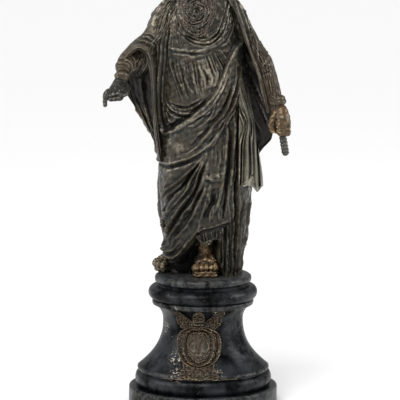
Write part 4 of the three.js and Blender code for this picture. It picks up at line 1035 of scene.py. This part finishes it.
def pedestal():
    """The turned pedestal: its profile carried round the vertical axis. Three sines of the angle and
    the height make its radius a little uneven, as hand-pressed clay is."""
    arc = lambda radius, proud, middle, half, reach: [
        (radius + proud * math.cos(a), middle + half * math.sin(a)) for a in np.linspace(-reach, reach, 24)]
    profile = [
        (1, 0), (60, 0), (92, 0), (93.1, 0.4), (93.5, 1.5), (93.5, 12), (93.5, 22), (93, 23.4),
        (91.5, 24), (86, 24.1),
        *arc(80, 6, 33.5, 9.5, 1.35),
        (80.6, 43.6), (80.6, 44.8), (82.4, 45.2), (83, 46),
        *[(drum_radius(z), z) for z in np.linspace(48, 126.5, 70)],
        (63.4, 127.6), (64, 129), (64, 132), (63.4, 133.4), (61.6, 134),
        *arc(60.7, 8, 142.5, 8.5, 1.4),
        (58.4, 151.6), (58.4, 154), (59, 155.6), (60.6, 156.8), (61, 158.5), (61, 161), (60.4, 163),
        (58.6, 164.2), (56, 165), (30, 165), (1, 165),
    ]
    radius, z = np.array(profile).T[:, :, None]
    angle = np.linspace(0, TAU, steps(240), endpoint=False)[None, :]
    uneven = (0.16 * np.sin(3 * angle + z / 19) + 0.1 * np.sin(7 * angle - z / 11)
              + 0.06 * np.sin(13 * angle + z / 5))
    radius = radius + (uneven - 0.3) * ease(radius / 40) * ease(z / 6)
    return np.stack([radius * np.sin(angle), -radius * np.cos(angle), np.broadcast_to(z, radius.shape)], -1)


EMBLEM_MIDDLE = -5.4
EMBLEM_HALF_WIDTH = 33
EMBLEM_TOP, EMBLEM_FOOT = 128, 45
# How deep the ground between the emblem's forms, and its back, lie inside the drum.
BURIED, BACK_DEPTH = 4, 7
# Millimetres for each radian of turn on the emblem.
EMBLEM_RADIUS = 55


def coat_of_arms():
    """The applied coat of arms: layers and rolled edges laid as a relief on the unrolled drum. Its
    radius is the drum's plus the relief, and its back is inside the drum."""
    u = np.linspace(-EMBLEM_HALF_WIDTH, EMBLEM_HALF_WIDTH, steps(164))
    v = np.linspace(EMBLEM_FOOT, EMBLEM_TOP, steps(206))
    relief = np.full((v.size, u.size), -float(BURIED))
    mirrored = lambda points, s: [(s * x, z) for x, z in points]
    shield = [(0, 106), (10, 106.5), (20, 103), (27, 97.5), (28.6, 87), (25.6, 76), (19.6, 67),
              (10.6, 60.6), (0, 58)]
    cartouche = shield + mirrored(shield[-2:0:-1], -1)
    foot_edge = [(0, 70), (13, 69), (17, 64), (15, 59.6), (16.6, 55), (17.4, 49), (14, 45.8), (7, 46.6),
                 (0, 45.6)]
    wing = [(7, 112), (15, 118), (25.6, 127), (31.6, 127.4), (31.4, 119), (29.8, 109), (22, 103), (9, 103)]
    tiara = [(-7, 108), (-8, 116), (-6.4, 123), (-2, 126.6), (2, 126.6), (6.4, 123), (8, 116), (7, 108)]
    foot = foot_edge + mirrored(foot_edge[-2:0:-1], -1)
    layers = (foot, 5.4), (wing, 4.8), (mirrored(wing, -1), 4.8), (cartouche, 5.8), (tiara, 6.8)
    for outline, height in layers:
        layer = np.zeros_like(relief)
        lay_layer(layer, outline, height, u, v, 0.9)
        relief = np.maximum(relief, layer - BURIED)
    ring = lambda wide, tall: [(x * wide, 83 + (z - 83) * tall) for x, z in cartouche + cartouche[:1]]
    rings = (2, 1.1, 0.95, 0.95), (-1.8, 1, 0.82, 0.93), (2.2, 1, 0.66, 0.88), (-1.6, 0.9, 0.55, 0.76)
    details = [
        *[fold(height, width, *ring(wide, tall), start=0, end=0) for height, width, wide, tall in rings],
        fold(2.4, 2, (0, 97), (1, 90), (-1, 82), (0, 72), crest=1.6),
        *[fold(1.1, 0.9, (-7, 110 + rise), (0, 109 + rise), (7, 110 + rise), start=0.1, end=0.1)
          for rise in (4.2 * k for k in range(4))],
        *[fold(1.2, 1, (x, 105.4), (x + 0.4, 105), start=0, end=0) for x in (-6, -2, 2, 6)],
        fold(1.4, 1, (-16, 49), (0, 48), (16, 49), start=0.1, end=0.1),
        fold(1.2, 1.2, (-3, 57), (0, 53), (3, 57)),
    ]
    for s in (-1, 1):
        scroll = lambda height, width, *points, **ends: fold(height, width, *mirrored(points, s), **ends)
        details += [
            scroll(2.2, 1, (7, 111), (15, 118), (26, 127), (31, 127), start=0.05, end=0.05),
            *bundle(4, 1.5, 0.8, mirrored([(13, 116), (16, 110), (18, 105)], s),
                    mirrored([(30, 125), (30, 116), (28, 109)], s)),
            scroll(1.8, 0.9, (22, 107), (26, 104), (29, 106), (28, 110), (24.6, 110), start=0.05),
            scroll(1.8, 0.9, (24, 102), (20, 99), (16.6, 101), (18, 104.6), start=0.05),
            scroll(1.8, 0.9, (27, 82), (23.6, 79), (23, 74.6), (26, 74), start=0.05),
            scroll(1.6, 0.8, (4, 93), (9, 90), (12, 84), (10, 77), (5, 74), (3, 78)),
            scroll(1.4, 0.8, (3, 97.6), (8, 99), (13, 95)),
            scroll(1.2, 0.7, (6, 86), (8, 82), (6, 79)),
            scroll(2, 0.9, (4, 63), (10, 65), (15.6, 62), (15, 57), (10.6, 57), (11, 60), start=0.05),
            scroll(1.9, 0.9, (15.6, 64), (14, 59), (15.6, 54), (15, 49.6), (11.4, 50), (12, 53), start=0.05),
            scroll(1.7, 0.9, (3, 58), (7, 55), (8.6, 50.6), (5, 48.6)),
        ]
    from_middle = np.hypot(u[None, :] / 20, (v[:, None] - 84) / 18)
    added = 0.6 * curls(u, v, 7, 4) * ease((from_middle - 0.6) / 0.2)
    lay_folds(added, details, u, v)
    relief = relief + added * ease((relief + 2) / 2)
    drum = np.broadcast_to(drum_radius(v)[:, None], relief.shape)
    radius = np.where(relief > 0.1 - BURIED, drum + relief, drum - BURIED)
    angle = u[None, :] / EMBLEM_RADIUS + (EMBLEM_MIDDLE / drum_radius(v))[:, None]
    z = np.broadcast_to(v[:, None], relief.shape)
    skin = lambda r: np.stack([r * np.sin(angle), -r * np.cos(angle), z], -1)
    return np.concatenate([skin(radius), skin(drum - BACK_DEPTH)[:, ::-1]], axis=1)


def rod():
    """The rod held in the left hand, wound with a spiral cord and rounded at its foot."""
    low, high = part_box("rod")
    middle = (low.y + high.y) * 500
    top = (low.x * 1000 + 3.8, middle, high.z * 1000 - PEDESTAL_TOP - 1)
    tip = (high.x * 1000 - 4, middle, low.z * 1000 - PEDESTAL_TOP)
    half_way = tuple((a + b) / 2 for a, b in zip(top, tip))
    turns = 9
    cord = lambda angle, t: 0.8 * np.abs(np.sin((angle + TAU * turns * t) / 2)) - 0.6
    return limb([top, half_way, tip], [4.3, 4.6, 4.6], around=48, along=150, ripple=cord)


# Materials

class Nodes:
    """A node material wired by short calls. Every pattern reads the object's own coordinates or
    attributes."""

    def __init__(self, name):
        self.material = bpy.data.materials.new(name)
        self.material.use_nodes = True
        self.tree = self.material.node_tree
        self.shader = self.tree.nodes["Principled BSDF"]
        self.place = self.tree.nodes.new("ShaderNodeTexCoord").outputs["Object"]
        split = self.add("ShaderNodeSeparateXYZ")
        self.wire(self.place, split.inputs["Vector"])
        self.x, self.y, self.z = (split.outputs[axis] for axis in "XYZ")

    def add(self, kind, **settings):
        node = self.tree.nodes.new(kind)
        for key, value in settings.items():
            setattr(node, key, value)
        return node

    def wire(self, source, socket):
        """Links an output to an input, or sets the input to a plain value."""
        if isinstance(source, bpy.types.NodeSocket):
            self.tree.links.new(source, socket)
        else:
            socket.default_value = source

    def attribute(self, name):
        return self.add("ShaderNodeAttribute", attribute_name=name).outputs["Fac"]

    def noise(self, size_mm, detail=4, roughness=0.55, stretch=(1, 1, 1)):
        """Noise from 0 to 1 whose largest grains are about size_mm wide, stretched along the axes."""
        mapping = self.add("ShaderNodeMapping")
        self.wire(self.place, mapping.inputs["Vector"])
        mapping.inputs["Scale"].default_value = [1000 / (size_mm * s) for s in stretch]
        node = self.add("ShaderNodeTexNoise")
        self.wire(mapping.outputs["Vector"], node.inputs["Vector"])
        node.inputs["Scale"].default_value = 1
        node.inputs["Detail"].default_value = detail
        node.inputs["Roughness"].default_value = roughness
        return node.outputs["Fac"]

    def math(self, operation, a, b=0.0):
        node = self.add("ShaderNodeMath", operation=operation)
        self.wire(a, node.inputs[0])
        self.wire(b, node.inputs[1])
        return node.outputs[0]

    def span(self, value, low, high, to_low=0.0, to_high=1.0):
        """Carries a value from the range low to high over to another range, held at its ends."""
        node = self.add("ShaderNodeMapRange")
        self.wire(value, node.inputs["Value"])
        for key, number in (("From Min", low), ("From Max", high), ("To Min", to_low), ("To Max", to_high)):
            node.inputs[key].default_value = number
        return node.outputs["Result"]

    def blend(self, share, a, b):
        """Mixes two colours."""
        node = self.add("ShaderNodeMix", data_type="RGBA")
        self.wire(share, node.inputs["Factor"])
        colour_a, colour_b, mixed = node.inputs[6], node.inputs[7], node.outputs[2]
        for value, socket in ((a, colour_a), (b, colour_b)):
            self.wire(value if isinstance(value, bpy.types.NodeSocket) else (*value, 1), socket)
        return mixed

    def near(self, place_mm, zero_at, full_at):
        """Rises from 0 to 1 as a point comes nearer to a place."""
        node = self.add("ShaderNodeVectorMath", operation="DISTANCE")
        self.wire(self.place, node.inputs[0])
        node.inputs[1].default_value = [p / 1000 for p in place_mm]
        return self.span(node.outputs["Value"], zero_at / 1000, full_at / 1000)

    def shade(self, colour, factor):
        """Multiplies a colour by a number."""
        node = self.add("ShaderNodeVectorMath", operation="SCALE")
        self.wire(colour, node.inputs[0])
        self.wire(factor, node.inputs["Scale"])
        return node.outputs[0]

    def bump(self, height, depth_mm):
        node = self.add("ShaderNodeBump")
        self.wire(height, node.inputs["Height"])
        node.inputs["Distance"].default_value = depth_mm / 1000
        node.inputs["Strength"].default_value = 1
        self.wire(node.outputs["Normal"], self.shader.inputs["Normal"])

    def finish(self, colour, roughness, metallic, specular, coat=0.0, coat_roughness=0.2):
        self.wire(colour, self.shader.inputs["Base Color"])
        self.wire(roughness, self.shader.inputs["Roughness"])
        self.wire(metallic, self.shader.inputs["Metallic"])
        self.wire(specular, self.shader.inputs["Specular IOR Level"])
        self.shader.inputs["Coat Weight"].default_value = coat
        self.shader.inputs["Coat Roughness"].default_value = coat_roughness
        return self.material


def on_figure(rows):
    """Places on the figure and their reach, from rows of x, y, height above the pedestal and reach."""
    return [((x, y, PEDESTAL_TOP + height), reach) for x, y, height, reach in rows]


# Places and their reach: hollows given painted shade, patches given painted highlights, flakes of old paint,
# and dusty patches that also carry a painted sheen.
SHADE_PAINTED_PLACES = on_figure([(-20, -8, 20, 28), (-79, -4, 232, 25), (-80, -14, 252, 15), (73, 4, 186, 36),
                       (57, -8, 245, 23), (50, -11, 276, 19), (60, 4, 214, 28)])
HIGHLIGHT_PAINTED_PLACES = on_figure([(8, -41, 248, 30), (-31, -43, 164, 9), (6, -47, 129, 9), (19, -45, 131, 8),
                      (-54, -24, 324, 34), (0, -32, 296, 17), (-104, -60, 236, 12)])
RESIDUE = [((-33, -54, 68), 14), ((-33, -71, 50), 13), ((18, -75, 52), 10), ((-46, -22, 100), 10),
           ((-32, -51, 128), 7), ((15, -55, 126), 6)]
DUST_AND_SHEEN_PLACES = [((-40, -46, 163), 16), ((56, -30, 68), 28), ((-60, -32, 60), 24), ((-52, -15, 122), 15),
         ((50, -16, 124), 15)]
WARM_BROWN = (0.058, 0.036, 0.018)
DUSK_OLIVE = (0.020, 0.020, 0.010)
LACQUER_DEEP = (0.0012, 0.0014, 0.0018)
LACQUER_CLOUDED = (0.010, 0.012, 0.015)
EDGE_WEAR_AND_HIGHLIGHT = (0.11, 0.108, 0.102)
BLUE_DUST_AND_SHEEN = (0.062, 0.068, 0.076)
PALE_CLAY = (0.34, 0.31, 0.25)


def bronze_patina(name, hollow, body, cool, crest, crest_reach, roughness, dusk=1.0, warmth=0.5):
    """Bronze paint under wax: near black in the hollows, partly its patina and partly painted shade, mottled
    on the flats and light on the crests, partly from rubbing and partly a painted highlight, with painted
    highlight patches in given places. It is dusky olive low on the figure, and browner on the outstretched
    arms."""
    m = Nodes(name)
    tinted = lambda factor, colour: tuple(factor * c for c in colour)
    grain = m.noise(2.2, 5)
    fine, wide = m.attribute("crease"), m.attribute("depth")
    flats = m.blend(m.span(m.noise(26, 4), 0.42, 0.58), body, cool)
    flats = m.blend(m.span(m.noise(9, 3), 0.5, 0.72, 0, 0.8), flats, tinted(1.5, body))
    bloom = m.math("MULTIPLY", m.span(m.noise(13, 5, 0.6), 0.5, 0.66),
                   m.span(m.noise(2, 4, 0.65), 0.42, 0.62))
    flats = m.blend(m.math("MULTIPLY", bloom, 0.5), flats, tinted(0.5, crest))
    flats = m.blend(m.span(m.math("ABSOLUTE", m.x), 0.058, 0.085, 0, warmth), flats, WARM_BROWN)
    level = m.math("ADD", fine, m.span(grain, 0, 1, -0.18, 0.18))
    # Crests go towards the crest colour: partly wear from rubbing, partly a painted highlight.
    rubbed_and_highlit = m.math("MULTIPLY", m.span(level, *crest_reach), m.span(m.noise(8, 4, 0.6), 0.44, 0.66, 0.2, 1))
    colour = m.blend(rubbed_and_highlit, flats, crest)
    low = m.span(m.z, 0.30, 0.215, 0, dusk)
    colour = m.blend(m.math("MULTIPLY", low, 0.3), colour, DUSK_OLIVE)
    colour = m.shade(colour, m.span(low, 0, 1, 1, 0.62))
    # Painted highlights: patches lighter than the crest colour in the given places.
    for place, reach in HIGHLIGHT_PAINTED_PLACES:
        patches = m.span(m.noise(5, 3), 0.4, 0.58, 0.1, 0.9)
        share = m.math("MULTIPLY", m.near(place, reach, reach / 3), patches)
        colour = m.blend(share, colour, tinted(1.3, crest))
    # Hollows go towards the hollow colour, over fine creases and deep hollows, less so high on the figure:
    # partly the patina that gathers there, partly painted shade.
    sunk = m.math("MAXIMUM", m.span(level, 0.56, 0.78), m.span(wide, 0.54, 0.82))
    sunk = m.math("MULTIPLY", sunk, m.span(m.z, 0.33, 0.40, 1, 0.8))
    # Painted shade: the given places that lie out of the light go darker towards the hollow colour.
    for place, reach in SHADE_PAINTED_PLACES:
        sunk = m.math("MAXIMUM", sunk, m.math("MULTIPLY", m.near(place, reach, 0.7 * reach), 0.86))
    colour = m.blend(sunk, colour, hollow)
    rough = m.span(grain, 0.3, 0.7, roughness - 0.06, roughness + 0.08)
    rough = m.math("ADD", rough, m.span(sunk, 0, 1, 0, 0.25))
    m.bump(m.math("ADD", m.math("MULTIPLY", m.noise(1.3, 3), 0.5), m.noise(6, 3)), 0.35)
    return m.finish(colour, rough, metallic=0.35, specular=0.32, coat=0.1, coat_roughness=0.16)


def black_lacquer(name):
    """Black lacquer on the turned pedestal: a blue-black satin, with wear in patches on its rims that is
    also a painted highlight, dusty patches that also carry a painted sheen, and chips."""
    m = Nodes(name)
    fine = m.attribute("crease")
    mottle = m.noise(30, 5, 0.6)
    grain = m.noise(3, 4)
    colour = m.blend(m.span(mottle, 0.42, 0.66), LACQUER_DEEP, LACQUER_CLOUDED)
    streaks = m.span(m.noise(6, 5, 0.6, (5, 5, 0.35)), 0.5, 0.68)
    # Rims go lighter: partly wear, partly a painted highlight along them.
    rims = m.math("MULTIPLY", m.span(fine, 0.34, 0.08), m.span(m.noise(7, 5, 0.65), 0.40, 0.58))
    scuffs = m.math("MULTIPLY", streaks, m.span(m.noise(30, 3), 0.5, 0.64, 0, 0.25))
    worn_and_highlit = m.math("MAXIMUM", rims, scuffs)
    colour = m.blend(m.math("MULTIPLY", worn_and_highlit, 0.34), colour, EDGE_WEAR_AND_HIGHLIGHT)
    # Dusty patches that also carry a painted sheen on the disc and the drum.
    for place, reach in DUST_AND_SHEEN_PLACES:
        cloud = m.span(m.noise(8, 5, 0.65), 0.42, 0.66, 0, 0.3)
        dust_and_sheen = m.math("MULTIPLY", m.near(place, reach, reach / 3), cloud)
        colour = m.blend(dust_and_sheen, colour, BLUE_DUST_AND_SHEEN)
    flecks = m.noise(2.4, 3)
    chips = m.math("MULTIPLY", m.span(flecks, 0.68, 0.72), m.span(m.noise(24, 3), 0.46, 0.56))
    for place, reach in RESIDUE:
        flakes = m.math("MULTIPLY", m.span(flecks, 0.56, 0.62), m.near(place, reach, reach / 3))
        chips = m.math("MAXIMUM", chips, flakes)
    colour = m.blend(chips, colour, PALE_CLAY)
    rough = m.math("ADD", m.span(grain, 0.3, 0.7, 0.24, 0.34), m.span(mottle, 0.4, 0.7, 0, 0.14))
    m.bump(m.math("ADD", m.math("MULTIPLY", grain, 0.3), m.noise(16, 3)), 0.35)
    return m.finish(colour, rough, metallic=0.0, specular=m.span(mottle, 0.40, 0.62, 0.03, 0.26))


def plain(name, colour, roughness):
    """One even colour, for the floor."""
    return Nodes(name).finish((*colour, 1), roughness, metallic=0.0, specular=0.2)


BRONZED = bronze_patina("bronzed", hollow=(0.0032, 0.0031, 0.0027), body=(0.032, 0.025, 0.016),
                        cool=(0.023, 0.024, 0.018), crest=(0.17, 0.148, 0.112), crest_reach=(0.38, 0.06),
                        roughness=0.32)
# A lighter copy of the bronze for the hanging end: painted lighter to stand for the strong light it catches.
PALE = bronze_patina("pale_bronze", hollow=(0.0036, 0.0034, 0.0026), body=(0.098, 0.088, 0.062),
                     cool=(0.076, 0.072, 0.055), crest=(0.40, 0.36, 0.29), crest_reach=(0.46, 0.14),
                     roughness=0.34, dusk=0.8, warmth=0)
BEARDED = bronze_patina("bronzed_hair", hollow=(0.005, 0.004, 0.003), body=(0.040, 0.030, 0.021),
                        cool=(0.028, 0.025, 0.019), crest=(0.15, 0.12, 0.09), crest_reach=(0.4, 0.12),
                        roughness=0.38)
DARK_HAND = bronze_patina("dark_hand", hollow=(0.004, 0.004, 0.004), body=(0.018, 0.017, 0.014),
                          cool=(0.022, 0.023, 0.019), crest=(0.24, 0.22, 0.18), crest_reach=(0.44, 0.16),
                          roughness=0.28, dusk=0, warmth=0)
GOLDEN = bronze_patina("golden_brown", hollow=(0.008, 0.005, 0.003), body=(0.072, 0.042, 0.018),
                       cool=(0.040, 0.029, 0.016), crest=(0.44, 0.29, 0.15), crest_reach=(0.42, 0.12),
                       roughness=0.3, dusk=0, warmth=0)
OLIVE = bronze_patina("olive_brown", hollow=(0.006, 0.005, 0.003), body=(0.058, 0.042, 0.022),
                      cool=(0.036, 0.030, 0.018), crest=(0.34, 0.27, 0.17), crest_reach=(0.42, 0.12),
                      roughness=0.32, dusk=0, warmth=0)
# Painted shade: a near-black copy of the bronze for the core behind the foot's hollow.
SHADOWED = bronze_patina("shadowed", hollow=(0.002, 0.002, 0.002), body=(0.003, 0.003, 0.002),
                         cool=(0.003, 0.003, 0.003), crest=(0.004, 0.004, 0.004), crest_reach=(0.3, 0.1),
                         roughness=0.7, dusk=0, warmth=0)
RUBBED = bronze_patina("rubbed_relief", hollow=(0.003, 0.0026, 0.002), body=(0.036, 0.024, 0.012),
                       cool=(0.020, 0.018, 0.011), crest=(0.27, 0.20, 0.125), crest_reach=(0.30, 0.05),
                       roughness=0.42, dusk=0, warmth=0)
SOCLE = black_lacquer("black_socle")
SHARP_EDGE = math.radians(55)


def weather(made):
    """Stores how sunk each point is under its smoothed neighbourhood: 0 is a crest and 1 a hollow. The
    crease is over a fine neighbourhood and the depth over a wide one."""
    mesh = made.data
    count = len(mesh.vertices)
    place, normal = np.empty((count, 3), np.float32), np.empty((count, 3), np.float32)
    ends = np.empty((len(mesh.edges), 2), np.int32)
    mesh.vertices.foreach_get("co", place.reshape(-1))
    mesh.vertex_normals.foreach_get("vector", normal.reshape(-1))
    mesh.edges.foreach_get("vertices", ends.reshape(-1))
    place = place.astype(float) * 1000
    a, b = ends.T
    neighbours = np.maximum(np.bincount(a, minlength=count) + np.bincount(b, minlength=count), 1)[:, None]
    around = lambda w: np.stack([np.bincount(a, w[b, k], count) + np.bincount(b, w[a, k], count)
                                 for k in range(w.shape[1])], -1) / neighbours
    smooth, done = place.copy(), 0
    for name, rounds, reach in (("crease", 7, 0.42), ("depth", 90, 3.2)):
        for _ in range(rounds - done):
            smooth = 0.4 * smooth + 0.6 * around(smooth)
        done = rounds
        sunk = ((smooth - place) * normal).sum(1, keepdims=True)
        sunk = np.clip(0.5 + 0.5 * (0.5 * sunk + 0.5 * around(sunk)) / reach, 0, 1)
        layer = mesh.attributes.new(name, "FLOAT", "POINT")
        layer.data.foreach_set("value", sunk.astype(np.float32).ravel())


def finish(made, look, slot, *nodes):
    """Gives a piece its look, lets it ride on the one body and hides the nodes it stands for."""
    made.data.materials.clear()
    made.data.materials.append(look)
    made.data.polygons.foreach_set("use_smooth", np.ones(len(made.data.polygons), bool))
    made.data.set_sharp_from_angle(angle=SHARP_EDGE)
    weather(made)
    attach(made, "root")
    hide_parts(*nodes)


finish(united("robe", [robed_body(), tassel()]), BRONZED, "bronzed_terracotta", "saint")
finish(to_object("inner_wall", *closed(inner_wall())), SHADOWED, "bronzed_terracotta", "saint")
finish(to_object("hanging_end", *closed(mantle_tail())), PALE, "bronzed_terracotta", "saint")
finish(united("mantle_and_sleeves", [mantle_back(), *right_sleeve(), *left_sleeve()]), BRONZED,
       "bronzed_terracotta", "saint")
finish(united("head_and_beard", [head(), *hair_and_beard()]), BEARDED, "bronzed_terracotta", "saint")
finish(melted("right_hand", right_hand(), 0.08), DARK_HAND, "bronzed_terracotta", "saint")
finish(melted("left_hand", left_hand(), 0.08), GOLDEN, "bronzed_terracotta", "saint")
finish(melted("left_foot", left_foot(), 0.12), GOLDEN, "bronzed_terracotta", "saint")
finish(melted("right_foot", right_foot(), 0.12), OLIVE, "bronzed_terracotta", "saint")
finish(to_object("pedestal_turned", *closed(pedestal()), lift=0), SOCLE, "black_socle", "pedestal")
finish(to_object("coat_of_arms_relief", *closed(coat_of_arms()), lift=0), RUBBED,
       "rubbed_bronze", "coat_of_arms")
finish(to_object("wound_rod", *closed(rod())), DARK_HAND, "dark_rod", "rod")


# Floor, light and camera, in metres

FLOOR_REACH = 20
FLOOR_GREY = (0.9, 0.9, 0.9)
LIT_PLACE = (0, 0, 0.3)
WINDOW_SIZE = 0.9
SURROUNDING_LIGHT = 0.42
VIEW_PITCH = math.radians(8.6)
VIEW_DISTANCE = 3.5
VIEW_TARGET = (-0.00375, 0, 0.258)
VIEW_WIDTH = 0.5


def floor():
    """A plain pale floor that reaches past the horizon of the view."""
    mesh = bpy.data.meshes.new("floor")
    corners = [(x * FLOOR_REACH, y * FLOOR_REACH, 0) for x, y in ((-1, -1), (1, -1), (1, 1), (-1, 1))]
    mesh.from_pydata(corners, [], [(0, 1, 2, 3)])
    made = bpy.data.objects.new("floor", mesh)
    bpy.context.scene.collection.objects.link(made)
    made.data.materials.append(plain("pale_floor", FLOOR_GREY, roughness=0.8))


def aimed(direction):
    """Turn that points an object's -Z along a direction, with its +Y up."""
    return Vector(direction).to_track_quat("-Z", "Y").to_euler()


def window(name, place, watts):
    """A soft square light that points at the figure."""
    lamp = bpy.data.lights.new(name, "AREA")
    lamp.size = WINDOW_SIZE
    lamp.energy = watts
    made = bpy.data.objects.new(name, lamp)
    made.location = place
    made.rotation_euler = aimed(np.array(LIT_PLACE, float) - np.array(place, float))
    bpy.context.scene.collection.objects.link(made)


def sun(name, place, strength, softness):
    """An even light from the direction of a place, as soft as a disc of some degrees across."""
    lamp = bpy.data.lights.new(name, "SUN")
    lamp.energy = strength
    lamp.angle = math.radians(softness)
    made = bpy.data.objects.new(name, lamp)
    made.rotation_euler = aimed([-p for p in place])
    bpy.context.scene.collection.objects.link(made)


def camera():
    """The photograph's view: slightly down, from a distance, at the middle of what it shows."""
    data = bpy.data.cameras.new("view")
    data.sensor_width = 36
    data.lens = data.sensor_width * VIEW_DISTANCE / VIEW_WIDTH
    made = bpy.data.objects.new("view", data)
    back = (0, -math.cos(VIEW_PITCH), math.sin(VIEW_PITCH))
    made.location = [t + VIEW_DISTANCE * b for t, b in zip(VIEW_TARGET, back)]
    made.rotation_euler = aimed([-b for b in back])
    bpy.context.scene.collection.objects.link(made)
    bpy.context.scene.camera = made


floor()
camera()
sun("key", place=(-0.3, -0.85, 1.0), strength=2.8, softness=40)
window("left_window", place=(-1.5, -0.6, 0.75), watts=12)
window("right_window", place=(1.6, -0.1, 0.8), watts=15)
bpy.context.scene.view_settings.view_transform = "Standard"
world = bpy.data.worlds.new("studio")
world.use_nodes = True
background = world.node_tree.nodes["Background"]
background.inputs["Color"].default_value = (1, 1, 1, 1)
background.inputs["Strength"].default_value = SURROUNDING_LIGHT
bpy.context.scene.world = world
